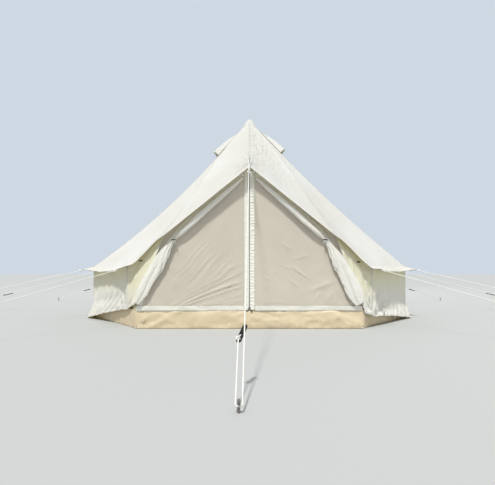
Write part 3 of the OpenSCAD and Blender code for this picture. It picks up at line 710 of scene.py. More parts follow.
# Painted light and shade: roof, wall and flap are the same canvas, but the roof's tone is set darker and the
# wall's and flap's lighter, the flap's most, standing in for how much light each catches.
CREAM = (0.80, 0.815, 0.84)
WARM = (0.85, 0.86, 0.865)
LOOKS = {
    "roof": canvas("canvas_roof", CREAM, peak=True),
    "wall": canvas("canvas_wall", tint(WARM, 1.06), foot=True, painted_eave_shade=True),
    "flap": canvas("canvas_flap", tint(WARM, 1.13), pucker_and_seam_shade=False),
    "seam": canvas("canvas_seam", tint(CREAM, 0.96), stitch=0.0042, pucker_and_seam_shade=False),
    "hem": canvas("canvas_hem", tint(WARM, 0.97), stitch=0.0045, pucker_and_seam_shade=False, foot=True),
    "patch": canvas("canvas_patch", tint(CREAM, 0.97), pucker_and_seam_shade=False),
    "mesh": netting("door_netting", (0.735, 0.675, 0.57)),
    "vent": netting("vent_netting", (0.20, 0.19, 0.15), 0.002),
    "tape": tape("zip_tape", (0.80, 0.79, 0.71)),
    "webbing": tape("webbing", (0.80, 0.78, 0.70), 0.0006),
    "sheet": coated("groundsheet", (0.69, 0.575, 0.385)),
    "rope": fibre("rope_fibre", (0.86, 0.85, 0.80)),
    "cord": fibre("cord_fibre", (0.88, 0.87, 0.83), 1200),
    "pole": metal("galvanised_pole", (0.66, 0.67, 0.68), 0.4),
    "joint": metal("galvanised_joint", (0.5, 0.51, 0.52), 0.5, 0.2),
    "peg": metal("weathered_peg", (0.30, 0.29, 0.28), 0.6, 0.8),
    "wire": metal("galvanised_wire", (0.62, 0.62, 0.61), 0.45, 0.25),
    "plastic": moulded("slider_plastic", (0.010, 0.010, 0.011)),
    "toggle": moulded("toggle_plastic", (0.016, 0.013, 0.011), 0.6),
    "rubber": moulded("foot_rubber", (0.03, 0.03, 0.03), 0.75),
    "teeth": moulded("zip_teeth", (0.12, 0.12, 0.11), 0.45),
}


# Roof: gore k lies between ribs k and k + 1, f across it, v from 0 at the cap to 1 at the wall
# and 2 at the valance's edge
GORES = (30, 24, 36, 30, 30, 30, 30)
VENT_LOW = slope_share(HOOD_LOW - VENT_INSET)
VENT_TOP = slope_share(HOOD_LOW - VENT_INSET - VENT_LEN * math.cos(math.atan((APEX_H - WALL_H) / WALL_R)))
ROOF_V = np.concatenate([np.linspace(0, VENT_TOP, 6)[:-1], np.linspace(VENT_TOP, VENT_LOW, 7)[:-1],
                         np.linspace(VENT_LOW, 1, 84)[:-1], 1 + np.linspace(0, 1, 9)])


def roof_raw(side, k, f, v):
    f, v = grids(f, v)
    return np.where((v <= 1)[..., None], roof_pt(k, f, np.minimum(v, 1), side),
                    valance_pt(k, f, np.maximum(v - 1, 0), side))


def gore_width(k, v):
    a, b = roof_raw("right", k, 0.0, v), roof_raw("right", k, 1.0, v)
    return np.linalg.norm(a - b, axis=-1)


def roof_lift(side, k, f, v):
    """How far the cloth stands off its smooth surface."""
    f, v = grids(f, v)
    t, s = np.minimum(v, 1), np.maximum(v - 1, 0)
    w = gore_width(k, v)
    near, far = f * w, (1 - f) * w
    edge = np.minimum(near, far)
    slope = down_slope(v)
    seed = (k * 2 + (side == "left")) % 20
    still = ease(edge, 0, 0.02)
    rib = np.where(f < 0.5, k, k + 1)
    up_rib = 0.0022 * np.sin(2 * np.pi * slope / 0.105 + 2.5 * noise(slope * 4, rib, seed))
    d = up_rib * bell(edge, 0.02, 0.05) * (0.5 + 0.5 * noise(slope * 1.7, rib + 3, 11))
    slack = fbm(near / 0.32, slope / 0.8, seed, 3)
    d = d + 0.006 * slack * np.sin(np.pi * np.clip(t, 0, 1)) ** 0.6 * ease(edge, 0, 0.12)
    if k >= 2:
        for du, end in ((near, k), (-far, k + 1)):
            dv = (1 - t) * SLOPE_LEN - s * VALANCE_W + VALANCE_W
            rho, phi = np.hypot(du, dv), np.arctan2(np.abs(du), np.maximum(dv, 0.001))
            fold = np.sin(phi * 11 + 2 * noise(rho * 5, end, seed) + end)
            d = d + 0.005 * fold * np.exp(-rho / 0.42) * ease(rho, 0.05, 0.2)
    if k == 0:
        rho = np.hypot(near, (1 - t) * 1.95)
        phi = np.arctan2(near, (1 - t) * 1.95 + 0.001)
        if side == "left":
            fan = np.sin(phi * 17 + 1.6 * noise(rho * 6, 0, 5)) * ease(phi, 0.5, 0.9)
            d = d + 0.008 * fan * np.exp(-rho / 0.4) * ease(rho, 0.04, 0.16)
            fan = np.sin(phi * 29 + 1.5 * noise(rho * 7, phi * 2, 9)) * ease(phi, 0.3, 0.7)
            d = d + 0.010 * fan * np.exp(-rho / 0.26) * ease(rho, 0.03, 0.10)
        else:
            here = (0.35 + 0.65 * bell(near, 0.10, 0.14)) * bell(t, 0.45, 0.40) * ease(edge, 0, 0.04)
            crush = creases(near / 0.05 + 0.7 * noise(slope * 5, near * 6, 22), slope / 0.19 + near * 3, 23)
            fine = creases(near / 0.032 + slope * 3, slope / 0.09, 24)
            d = d + (0.013 * crush + 0.005 * fine) * here
            fan = np.sin(phi * 13 + 2.0 * noise(rho * 5, 3, 6)) * ease(phi, 0.4, 0.8)
            d = d + 0.006 * fan * np.exp(-rho / 0.35) * ease(rho, 0.04, 0.16)
    if k == 1 and side == "right":
        d = d + 0.006 * np.sin(near / 0.035 + slope * 5) * bell(t, 0.97, 0.1) * ease(edge, 0.02, 0.1)
    flutter = 0.006 * noise(near / 0.11, k * 5.0 + 0.5, seed + 1) * s * ease(edge, 0, 0.06)
    return (d * still * (1 - 0.75 * ease(s, 0.6, 1.0)) + flutter * (k > 0)) * ease(v, 0.02, 0.1)


def roof_at(side, k, f, v, proud=0.0):
    e = 1e-3
    f, v = grids(f, v)
    p = roof_raw(side, k, f, v)
    du = roof_raw(side, k, np.minimum(f + e, 1), v) - roof_raw(side, k, np.maximum(f - e, 0), v)
    vb = np.where(v > 1, np.maximum(v - e, 1), v - e)
    va = np.where(v > 1, v + e, np.minimum(v + e, 1))
    dv = roof_raw(side, k, f, va) - roof_raw(side, k, f, vb)
    n = -unit(np.cross(du, dv))
    return p + n * (roof_lift(side, k, f, v) + proud)[..., None]


def mirror_x(x, side):
    return -x if side == "left" else x


def mirror(p, side):
    return p * MIRROR if side == "left" else p


def half_shell(p, uv, thick, side, flipped="right"):
    """A sheet made for the right, mirrored to the left. The faces of the flipped side are turned round."""
    return shell(mirror(p, side), uv, thick, flip=side == flipped)


def over_rib(at, width, side, k, shares, half, rows, proud):
    """Columns of points over rib k, at shares of the half width; past the rear rib they are mirrored."""
    cols = []
    for i in shares:
        du = half * i
        if i < 0:
            p = at(side, k - 1, 1 + du / width(k - 1, rows), rows, proud)
        elif k == 7:
            p = at("left", 6, 1 - du / width(6, rows), rows, proud) * MIRROR
        else:
            p = at(side, k, du / width(k, rows), rows, proud)
        cols.append(p)
    return np.stack(cols)


def roof_loop(v, proud=0.0):
    """Points and uv of the roof in one closed run of columns, from the ridge over the door by the right."""
    cols, uvs = [], []
    for k, n in enumerate(GORES):
        f = np.arange(n) / n
        cols.append([roof_at(side, k, f[:, None], v[None], proud) for side in ("right", "left")])
        u = (1 - f if k == 0 else np.minimum(f, 1 - f))[:, None] * gore_width(k, v)[None]
        uvs.append(pairs(u, down_slope(v)[None]))
    rear = roof_at("right", 6, np.array([[1.0]]), v[None], proud)
    left = np.concatenate([g[1] for g in cols])[1:][::-1] * MIRROR
    uv = np.concatenate(uvs)
    return (np.concatenate([g[0] for g in cols] + [rear, left]),
            np.concatenate([uv, uv[:1], uv[1:][::-1]]))


def roof_sheet():
    """The gores from the first rib on the right round the rear to the first rib on the left."""
    p, uv = roof_loop(ROOF_V)
    p, uv = p[GORES[0]:len(p) - GORES[0] + 1], uv[GORES[0]:len(uv) - GORES[0] + 1]
    hole = np.zeros((len(p) - 1, len(ROOF_V) - 1), bool)
    start = GORES[1] + GORES[2]
    rows = (ROOF_V[:-1] >= VENT_TOP - 1e-6) & (ROOF_V[1:] <= VENT_LOW + 1e-6)
    for c in range(start + GORES[3] // 6, start + GORES[3] * 5 // 6):
        hole[c, rows] = True
        hole[len(p) - 2 - c, rows] = True
    return shell(p, uv, CLOTH_T, flip=True, hole=hole)


def roof_front():
    """The two narrow panels beside the ridge over the door, in a finer grid for their wrinkles."""
    n = len(ROOF_V)
    v = np.interp(np.linspace(0, n - 1, 2 * n - 1), np.arange(n), ROOF_V)
    f = np.linspace(0, 1, 58)
    u = (1 - f)[:, None] * gore_width(0, v)[None]
    uv = pairs(u, down_slope(v)[None])
    right, left = (roof_at(side, 0, f[:, None], v[None]) for side in ("right", "left"))
    p = np.concatenate([left[1:][::-1] * MIRROR, right])
    return shell(p, np.concatenate([uv[1:][::-1], uv]), CLOTH_T, flip=True)


def roof_strip(side, k, half, v, proud, thick):
    """A narrow strip over rib k, lying on the cloth at both sides."""
    cols = []
    for i in (-1, -0.5, 0, 0.5, 1):
        du = half * i
        if k == 0 and i < 0:
            p = roof_at("left", 0, -du / gore_width(0, v), v, proud) * MIRROR
        elif k == 7 and i > 0:
            p = roof_at("left", 6, 1 - du / gore_width(6, v), v, proud) * MIRROR
        elif i < 0 or k == 7:
            p = roof_at(side, k - 1, 1 + du / gore_width(k - 1, v), v, proud)
        else:
            p = roof_at(side, k, du / gore_width(k, v), v, proud)
        cols.append(p)
    uv = pairs(np.linspace(-half, half, 5)[:, None], SLOPE_LEN * v[None])
    return half_shell(np.stack(cols), uv, thick, side)


def window_band(side):
    """Binding round the vent window and the dark netting behind it."""
    w0, w1, k = 1 / 6, 5 / 6, 3
    v0, v1 = VENT_TOP, VENT_LOW
    loop = ([(f, v0) for f in np.linspace(w0, w1, 14)]
            + [(w1, v) for v in np.linspace(v0, v1, 12)[1:]]
            + [(f, v1) for f in np.linspace(w1, w0, 14)[1:]]
            + [(w0, v) for v in np.linspace(v1, v0, 12)[1:-1]])
    f, v = np.array(loop).T
    c = mirror(roof_at(side, k, f, v, -0.0009), side)
    out = mirror(roof_at(side, k, f, v, 0.02), side) - c
    n = unit(out)
    t = unit(np.roll(c, -1, 0) - np.roll(c, 1, 0))
    band = sweep(c, unit(np.cross(n, t)), n, flat_section(0.016, 0.0046), closed=True)
    u = np.linspace(0.1, 0.9, 20)[:, None]
    rows = np.linspace(v0 - 0.008, v1 + 0.008, 16)[None]
    p = roof_at(side, k, u, rows, -0.0035)
    return band, half_shell(p, pairs(u * 0.36, rows * SLOPE_LEN), 0.0008, side)


def vent_hood(side):
    """Canvas hood over the window, standing off at its arched lower edge."""
    clear, out, rise = 0.00075, 0.06, 0.075
    top_t, low_t = slope_share(HOOD_TOP), slope_share(HOOD_LOW)
    b, c = roof_pt(3, 0.0, low_t, side), roof_pt(3, 1.0, low_t, side)
    middle = roof_pt(3, 0.5, low_t, side) + np.array([out, 0, rise])
    u = np.linspace(0, 1, 37)[:, None]
    v = np.linspace(0, 1, 22)[None]
    arc = u[..., None]
    low = (1 - arc) ** 2 * b + 2 * arc * (1 - arc) * (2 * middle - (b + c) / 2) + arc ** 2 * c
    p = mix(roof_pt(3, u, top_t + 0 * u, side), low, v[..., None])
    bulge = clear + out * 0.3 * 4 * u * (1 - u) * 4 * v * (1 - v)
    p = p + np.stack(np.broadcast_arrays(clear + 0.0032, 0, bulge + 0.004), -1)
    seed = 3 if side == "left" else 9
    arch = 4 * u * (1 - u)
    folds = 0.0045 * fbm(u * 5, v * 2.2, seed) * ease(arch, 0, 0.4) * ease(v, 0, 0.3)
    folds = folds - 0.007 * bell(u, 0.3 + 0.1 * v, 0.05) * ease(v, 0.1, 0.6) * (side == "left")
    folds = folds - 0.004 * bell(u, 0.72 - 0.06 * v, 0.06) * ease(v, 0.2, 0.8)
    p = mirror(p, side)
    uv = pairs(np.minimum(u, 1 - u) * 0.42, v * 0.37)
    flip = side == "right"
    cloth = shell(p, uv, CLOTH_T, flip=flip, lift=folds)
    edge = p[:, -1] + grid_normals(p, False, flip)[:, -1] * (folds[:, -1:] - 0.0009)
    down = unit(p[:, -1] - p[:, -2])
    n = grid_normals(p, False, flip)[:, -1]
    band = sweep(edge - down * 0.004, down, n, flat_section(0.014, 0.0052))
    return cloth, band


def apex_cap():
    """Canvas cap over the pole tip, with a skirt stitched down on the gores."""
    profile = np.array([[0.0008, 2.5199], [0.010, 2.5188], [0.020, 2.515], [0.030, 2.508], [0.040, 2.498],
                        [0.051, 2.484], [0.062, 2.466], [0.070, 2.450]])
    ring, uv = roof_loop(np.linspace(0.014, 0.046, 7), 0.0034)
    ring, uv = ring[::3], uv[::3]
    bearing = np.arctan2(ring[:, 2, 0], -ring[:, 2, 1])
    rows = [np.stack([r * np.sin(bearing), -r * np.cos(bearing), np.full_like(bearing, z)], -1)
            for r, z in profile]
    p = np.concatenate([np.stack(rows, 1), ring[:, 1:]], 1)
    v = np.concatenate([[0], np.cumsum(np.linalg.norm(np.diff(p, axis=1), axis=-1).mean(0))])
    wrinkle = 0.0016 * fbm(bearing[:, None] * 4, v[None] * 40, 14) * ease(v, 0.012, 0.05)[None]
    u = np.abs(bearing)[:, None] * 0.06
    return shell(p, pairs(u, v[None]), 0.0024, wrap=True, flip=True, lift=wrinkle)


def guy_patch(side, k):
    """Doubled canvas under the pull of a guy rope, wide at the edge of the valance and pointed up the rib."""
    v = np.concatenate([np.linspace(0.93, 1, 8)[:-1], 1 + np.linspace(0, 0.97, 7)])
    half = 0.085 * ease(v, 0.90, 1.35)
    shares = np.linspace(-1, 1, 13)
    p = over_rib(roof_at, gore_width, side, k, shares, half, v, 0.0014)
    return half_shell(p, pairs(shares[:, None] * half[None], SLOPE_LEN * v[None]), 0.0014, side)


# Walls: panel k lies between ribs k and k + 1, f across it, g from 0 at the top to 1 at the foot
PANELS = {1: 46, 2: 72, 3: 34, 4: 34, 5: 34, 6: 34}
WALL_G = np.concatenate([np.linspace(0, 0.85, 24), np.linspace(0.85, 1, 8)[1:]])


def wall_raw(side, k, f, g):
    f, g = grids(f, g)
    lift = LIFT[side]
    a, b = wall_pt(k, 1 - g, lift), wall_pt(k + 1, 1 - g, lift)
    p = mix(a, b, f[..., None])
    p[..., 2] += 0.0032 * (1 - g) ** 4
    if k > 1:
        p[..., 2] += 0.013 * 4 * f * (1 - f) * g ** 6
    return p


def panel_width(k):
    return 0.55 if k == 1 else 2 * WALL_R * math.sin(math.radians((rib_a(k + 1) - rib_a(k)) / 2))


def wall_lift(side, k, f, g):
    f, g = grids(f, g)
    p = wall_raw(side, k, f, g)
    z, s = p[..., 2], f * panel_width(k)
    w = panel_width(k)
    edge = np.minimum(f, 1 - f) * w
    seed = (k * 2 + (side == "left")) % 20 + 3
    slant = 0.45 if side == "left" else -0.25
    mid = np.sin(np.pi * np.clip(g, 0, 1)) ** 0.7
    d = 0.006 * np.sin(2 * np.pi * (s + slant * z) / 0.15 + 2.2 * noise(s / 0.22, z / 0.35, seed))
    line = noise((s + slant * z) / 0.075 + 0.9 * noise(s / 0.2, z / 0.3, seed + 6), z / 0.55, seed + 7)
    d = d + 0.015 * (sharp(line) - 0.25)
    d = d * mid * (0.6 + 0.4 * noise(s / 0.3, z / 0.5, seed + 2)) * ease(edge, 0, 0.08)
    d = d + 0.004 * fbm(s / 0.2, z / 0.3, seed + 1) * mid
    low = np.exp(-np.maximum(z - foot_level(side, k, f), 0) / 0.15)
    d = d + 0.014 * creases(s / 0.12 + z * 2, z / 0.16, seed + 4) * low * ease(edge, 0, 0.05)
    lean = s + (1.1 if side == "left" else -1.0) * z
    pleat = 1 - np.abs(np.sin(lean / 0.037 + 1.6 * noise(s / 0.2, z / 0.3, seed + 5))) ** 0.8
    pleat = (pleat - 0.35) * (0.7 + 0.6 * noise(lean / 0.12, z / 0.3, seed + 9))
    deep = 0.055 if side == "right" and k == 2 else 0.024
    d = d + deep * pleat * low * ease(edge, 0, 0.05)
    for du, end in ((s, k), (s - w, k + 1)):
        if end == 1:
            continue
        dz = np.maximum(z - foot_level(side, k, f), 0) + 0.02
        rho, phi = np.hypot(du, dz), np.arctan2(np.abs(du), dz)
        strong = 0.026 if (end == 2 and side == "right") else 0.011
        fold = np.sin(phi * 12 + 1.8 * noise(rho * 7, end, seed) + end * 2)
        d = d + strong * fold * np.exp(-rho / 0.26) * ease(rho, 0.03, 0.12) * ease(edge, 0, 0.05)
    if k == 1:
        line = f - mix(0.62, 0.98, g)
        d = d - 0.012 * ease(line, -0.10, 0.02) * (1 - ease(line, 0.02, 0.22)) * ease(g, 0.02, 0.2)
        d = d + 0.006 * np.sin(f * 22 + g * 3) * ease(g, 0.5, 1.0) * ease(f, 0.05, 0.3) * ease(1 - f, 0, 0.2)
    toggle = np.hypot(s - (0.58 if k == 1 else 0.5) * w, z - (0.53 if k == 1 else 0.554))
    free = ease(g, 0.0, 0.08) * (0.1 + 0.9 * ease(toggle, 0.02, 0.07))
    keep = ease(edge, 0, 0.03) if k > 1 else ease((1 - f) * w, 0, 0.03) * ease(f, 0, 0.06)
    return d * free * keep * (1 - 0.55 * ease(g, 0.93, 1.0))


def foot_level(side, k, f):
    a = wall_pt(k, 0.0, LIFT[side])[2]
    b = wall_pt(k + 1, 0.0, LIFT[side])[2]
    return mix(a, b, f)


def wall_at(side, k, f, g, proud):
    e = 2e-3
    f, g = grids(f, g)
    p = wall_raw(side, k, f, g)
    du = wall_raw(side, k, np.minimum(f + e, 1), g) - wall_raw(side, k, np.maximum(f - e, 0), g)
    dv = wall_raw(side, k, f, np.minimum(g + e, 1)) - wall_raw(side, k, f, np.maximum(g - e, 0))
    n = -unit(np.cross(du, dv))
    return p + n * (wall_lift(side, k, f, g) + proud)[..., None]


def wall_run(g, proud=0.0):
    """Points and uv of the whole wall, from the door's right-hand edge round the rear to its left one."""
    cols, uvs = {"right": [], "left": []}, []
    for k, n in PANELS.items():
        f = np.arange(n) / n
        for side in cols:
            cols[side].append(wall_at(side, k, f[:, None], g[None], proud))
        u = np.minimum(f, 1 - f)[:, None] * panel_width(k)
        if k == 1:
            u = (1 - f)[:, None] * panel_width(k)
        uvs.append(pairs(u, g[None] * WALL_H))
    rear = wall_at("right", 6, np.array([[1.0]]), g[None], proud)
    left = np.concatenate(cols["left"])[::-1] * MIRROR
    uv = np.concatenate(uvs)
    rear_uv = pairs(0.0, g[None] * WALL_H)
    return np.concatenate(cols["right"] + [rear, left]), np.concatenate([uv, rear_uv, uv[::-1]])


def wall_strip(side, k, half, g, proud, thick):
    shares = np.linspace(-1, 1, 5)
    p = over_rib(wall_at, lambda panel, rows: panel_width(panel), side, k, shares, half, g, proud)
    return half_shell(p, pairs(half * shares[:, None], (WALL_H * g)[None]), thick, side)


def edge_strip(side, width, g, proud, thick):
    """Hem along the free edge of the wall beside the door."""
    f = np.linspace(-0.004, width / panel_width(1), 4)
    p = wall_at(side, 1, np.maximum(f, 0)[:, None], g[None], proud)
    uv = pairs(((f - f[-1] / 2) * panel_width(1))[:, None], (WALL_H * g)[None])
    return half_shell(p, uv, thick, side)


# Door: netting halves and zip on the leaning plane over the groundsheet rim
def door_pt(x, z, proud):
    x, z, proud = grids(x, z, proud)
    lean = math.atan(DOOR_LEAN / (PEAK_H - RIM_H))
    return np.stack([x, -mesh_y(z) - proud * math.cos(lean), z + proud * math.sin(lean)], -1)


def mesh_top(x):
    return PEAK_H - ROOF_T - 0.004 - DOOR_SLOPE * x


def door_height(x):
    """Top of the netting over a distance from the middle."""
    side = RIM_H + (HALF_W - x) / (HALF_W - SHOULDER_X) * (SHOULDER_H - RIM_H)
    return np.minimum(mesh_top(x), side + 0.012)


# From x, z to x, z, then height and width of each fold in the right half of the netting
CRUMPLES = ((0.40, 0.66, 0.55, 0.70, 0.004, 0.012), (0.30, 0.61, 0.41, 0.57, 0.004, 0.010),
            (0.40, 0.60, 0.56, 0.48, 0.006, 0.009), (0.42, 0.56, 0.50, 0.53, 0.005, 0.010),
            (0.38, 0.47, 0.47, 0.40, 0.006, 0.010), (0.22, 0.56, 0.27, 0.53, 0.004, 0.009),
            (0.58, 0.36, 0.80, 0.46, 0.007, 0.022), (0.63, 0.26, 0.68, 0.36, 0.005, 0.014),
            (0.74, 0.27, 0.80, 0.37, 0.005, 0.014), (0.10, 0.262, 0.34, 0.255, 0.004, 0.008),
            (0.12, 0.52, 0.20, 0.46, 0.004, 0.010), (0.30, 0.82, 0.40, 0.76, 0.004, 0.012))


def netting_lift(side, x, z):
    edge = ease(x, 0.03, 0.14) * ease(z - RIM_H, 0.0, 0.06) * ease(door_height(x) - z, 0.0, 0.12)
    if side == "left":
        phi = np.degrees(np.arctan2(z - 0.10, 0.98 - x))
        rho = np.hypot(z - 0.10, 0.98 - x)
        line = noise(phi / 2.4 + 0.8 * noise(rho * 2.4, phi / 24, 7), rho * 1.6, 2)
        fan = sharp(line) * bell(phi, 17, 15) * ease(rho, 0.15, 0.45)
        fan = fan * (0.7 + 0.5 * noise(rho * 5, phi / 7, 3))
        steep = sharp(noise((x + z) * 14 + 0.4 * noise(x * 5, z * 5, 9), (x - z) * 1.6, 4))
        steep = steep * bell(z, 0.55, 0.28) * bell(x, 0.38, 0.3) * ease(noise(x * 4, z * 4, 10), -0.5, 0.3)
        d = 0.0095 * fan + 0.005 * steep + 0.002 * noise((x - z) * 2.2, (x + z) * 7, 4)
    else:
        low = noise(x * 16 + z * 3, z * 3, 8) * bell(z, 0.22, 0.2) * ease(x, 0.35, 0.6)
        d = 0.004 * low + 0.0015 * noise((x - z) * 2, (x + z) * 6, 8)
        for x0, z0, x1, z1, height, width in CRUMPLES:
            run, rise = x1 - x0, z1 - z0
            far = math.hypot(run, rise)
            along = ((x - x0) * run + (z - z0) * rise) / far ** 2
            across = ((x - x0) * rise - (z - z0) * run) / far + 0.006 * noise(x * 14, z * 14, 13)
            ends = ease(along, -0.15, 0.3) * ease(1 - along, -0.15, 0.3)
            d = d + 0.6 * height * np.exp(-(across / width) ** 2) * ends
    return (d + 0.003) * edge + 0.0012 * noise(x * 14, z * 14, 6) * edge


def mesh_half(side):
    x = np.concatenate([np.linspace(0.001, 0.79, 100), np.linspace(0.79, HALF_W - 0.006, 34)[1:]])
    share = np.linspace(0, 1, 116)
    top = door_height(x)
    z = RIM_H + SEAT + share[None] * (top - RIM_H - SEAT)[:, None]
    xx = np.broadcast_to(x[:, None], z.shape)
    p = door_pt(xx, z, netting_lift(side, xx, z))
    uv = np.stack([xx, z], -1)
    return half_shell(p, uv, 0.0012, side, "left")


def rim_dip(x):
    """How far the rim's top edge hangs below its height, along the door."""
    return 0.004 + 0.006 * noise(x / 0.23, 0.5, 27) + 0.003 * noise(x / 0.08, 0.5, 26)


def mesh_hem(side):
    x = np.linspace(0.052, HALF_W - 0.012, 120)
    z = RIM_H + 0.0005 + np.array([-0.012, 0.004, 0.016, 0.028, 0.036, 0.039])
    xx, zz = np.meshgrid(x, z, indexing="ij")
    seed = 4 if side == "left" else 15
    wave = 0.0024 * creases(xx / 0.05 + zz * 25, zz * 30, seed)
    wave = wave + 0.0026 * noise(xx / 0.11 - zz * 12, zz * 10, seed + 1)
    dip = 0.004 * noise(xx / 0.22, 0.5, seed + 2) * (zz > RIM_H + 0.01)
    dip = np.where(zz < RIM_H, -rim_dip(mirror_x(xx, side)) + 0.004, dip)
    side_x = mix(HALF_W, SHOULDER_X, (zz - RIM_H) / (SHOULDER_H - RIM_H))
    xx = np.minimum(xx, side_x)
    proud = netting_lift(side, xx, zz) + 0.0042 + wave * ease(zz, RIM_H, RIM_H + 0.02) + 0.0008
    p = door_pt(xx, zz + dip, proud)
    return half_shell(p, np.stack([xx, zz - RIM_H - 0.019], -1)[..., ::-1], 0.0016, side, "left")


def edge_hem(side):
    """Canvas facing along the sloping and the side edge of the netting."""
    pts = [(0.06, mesh_top(0.06) - 0.012), (SHOULDER_X - 0.02, mesh_top(SHOULDER_X) + 0.004),
           (HALF_W - 0.03, RIM_H + 0.05)]
    line = smooth_path([(x, 0, z) for x, z in pts], 0.02, 2)
    d = unit(np.gradient(line, axis=0))
    inward = np.stack([-d[:, 2], 0 * d[:, 0], d[:, 0]], -1)
    inward = inward * np.sign(-inward[:, 2:3] + 1e-6)
    off = np.linspace(0, 0.034, 5)
    x = line[:, None, 0] + inward[:, None, 0] * off
    z = line[:, None, 2] + inward[:, None, 2] * off
    ripple = 0.0012 * noise(z * 30, off[None] * 60, 17) + 0.0026
    p = door_pt(x, z, netting_lift(side, x, z) + ripple)
    along = np.arange(len(line))[:, None] * 0.02
    uv = pairs(off[None] - 0.017, along)
    return half_shell(p, uv, 0.0014, side, "left")


def gusset(side):
    """Canvas between the rim and the lifted wall at the corner, seen under the wall's edge."""
    a, b = np.array([HALF_W - 0.004, -BASE_Y + 0.004]), polar(RIM_R - 0.006, rib_a(2), 0)[:2]
    f = np.linspace(0, 0.62, 30)[:, None]
    foot = np.concatenate([mix(a, b, f), np.full((len(f), 1), RIM_H - 0.012)], -1)
    level = np.maximum(foot_level(side, 1, f[:, 0]) + 0.05, RIM_H + 0.01)
    head = wall_at(side, 1, np.maximum(f[:, 0], 0.03), 1 - level / 0.596, -0.007)
    h = np.linspace(0, 1, 10)[None, :, None]
    p = mix(foot[:, None], head[:, None], h)
    out = unit(np.array([b[1] - a[1], a[0] - b[0], 0]))
    sink = 0.010 * np.sin(np.pi * h) + 0.006 * noise(f[:, None] * 9, h * 2, 13) * np.sin(np.pi * h)
    p = p + sink * out * np.sign(out[1])
    uv = pairs(f * 0.5, h[..., 0] * 0.15)
    return half_shell(p, uv, 0.0014, side)


def zip_sway(z):
    return 0.0012 * noise(z / 0.12, 0.5, 20)


def zip_tape(side):
    top = mesh_top(0.05) - 0.006
    z = np.linspace(RIM_H + SEAT, top, 330)
    u = np.linspace(0.0035, 0.0500, 9)
    seed = 5 if side == "left" else 16
    much = 0.0024 if side == "left" else 0.0034
    uu, zz = np.meshgrid(u, z, indexing="ij")
    across = np.sin(np.pi * np.clip((uu - 0.003) / 0.047, 0, 1)) ** 0.6
    gather = noise(zz / 0.016, uu / 0.03, seed) + 0.6 * noise(zz / 0.009, uu / 0.02, seed + 1)
    lean = 150 * noise(zz / 0.075, 0.7, seed + 2)
    pitch = 0.019 if side == "left" else 0.029
    zigzag = np.sin(2 * np.pi * zz / pitch + uu * lean + 3 * noise(zz / 0.07, 0.2, seed))
    wave = much * across * (0.8 * gather + 0.7 * zigzag)
    p = door_pt(uu + zip_sway(zz), zz, 0.0031 + np.maximum(wave, -0.0012) + 0.0006)
    uv = np.stack([uu - 0.0265, zz], -1)
    return half_shell(p, uv, 0.0011, side, "left")


def zip_parts():
    top = mesh_top(0.05) - 0.01
    z = np.arange(RIM_H + 0.004, top, 0.0035)
    line = door_pt(zip_sway(z), z, 0.0026)
    a = np.tile([1.0, 0, 0], (len(z), 1))
    b = np.tile(unit(door_pt(0, 1, 1) - door_pt(0, 1, 0)), (len(z), 1))
    big = np.where(np.arange(len(z)) % 2 == 0, 1.0, 0.72)[:, None, None]
    teeth = sweep(line, a, b, circle(0.0031, 8, 0.6)[None] * big)
    body = door_pt(np.zeros(6), RIM_H + np.array([0.002, 0.005, 0.012, 0.022, 0.028, 0.031]), 0.0056)
    size = np.array([0.5, 0.85, 1.0, 0.95, 0.7, 0.4])[:, None, None]
    slider = sweep(body, a[:6], b[:6], circle(0.0105, 12, 0.42)[None] * size)
    wide = np.array([0.4, 0.5, 0.5, 0.9, 1.0, 0.7])[:, None, None]
    pulls = []
    for far, drop in ((-0.030, -0.014), (0.024, -0.022)):
        hang = door_pt(far * np.array([0.1, 0.3, 0.55, 0.75, 0.95, 1.1]),
                       RIM_H + mix(0.014, drop, np.array([0, 0.25, 0.5, 0.75, 0.92, 1.0])),
                       np.array([0.0100, 0.0108, 0.0106, 0.0104, 0.0102, 0.0100]))
        pulls.append(sweep(hang, a[:6], b[:6], circle(0.0090, 10, 0.2)[None] * wide))
    return teeth, slider, pulls


# Door flaps: rolled along the roof edge, tied, then hanging in folds to the door corner
# Rows: share of the shoulder's x (ROLL) or height (HANG), distance from the edge, half width, half depth
ROLL = np.array([[0.076, 0.079, 0.010, 0.010], [0.165, 0.085, 0.017, 0.015], [0.329, 0.092, 0.024, 0.018],
                 [0.506, 0.103, 0.029, 0.021], [0.684, 0.118, 0.030, 0.022], [0.823, 0.131, 0.024, 0.020],
                 [0.901, 0.141, 0.014, 0.014]])
HANG = {
    "left": np.array([
        [0.854, 0.091, 0.026, 0.018], [0.77, 0.076, 0.046, 0.018], [0.638, 0.053, 0.057, 0.017],
        [0.497, 0.026, 0.059, 0.016], [0.381, 0.015, 0.054, 0.015], [0.3, 0.004, 0.034, 0.012],
        [0.262, -0.002, 0.020, 0.010]]),
    "right": np.array([
        [0.854, 0.091, 0.026, 0.018], [0.77, 0.076, 0.046, 0.018], [0.638, 0.058, 0.062, 0.017],
        [0.497, 0.041, 0.074, 0.016], [0.381, 0.034, 0.072, 0.015], [0.29, 0.030, 0.050, 0.012],
        [0.255, 0.028, 0.034, 0.010]]),
}


def flap_stations(side):
    x = ROLL[:, 0] * SHOULDER_X
    roll = np.stack([x, PEAK_H - DOOR_SLOPE * x - ROLL[:, 1], ROLL[:, 2], ROLL[:, 3]], -1)
    fall = HANG[side]
    z = fall[:, 0] * SHOULDER_H
    hang = np.stack([wall_edge_x(z) - fall[:, 1], z, fall[:, 2], fall[:, 3]], -1)
    return roll, hang


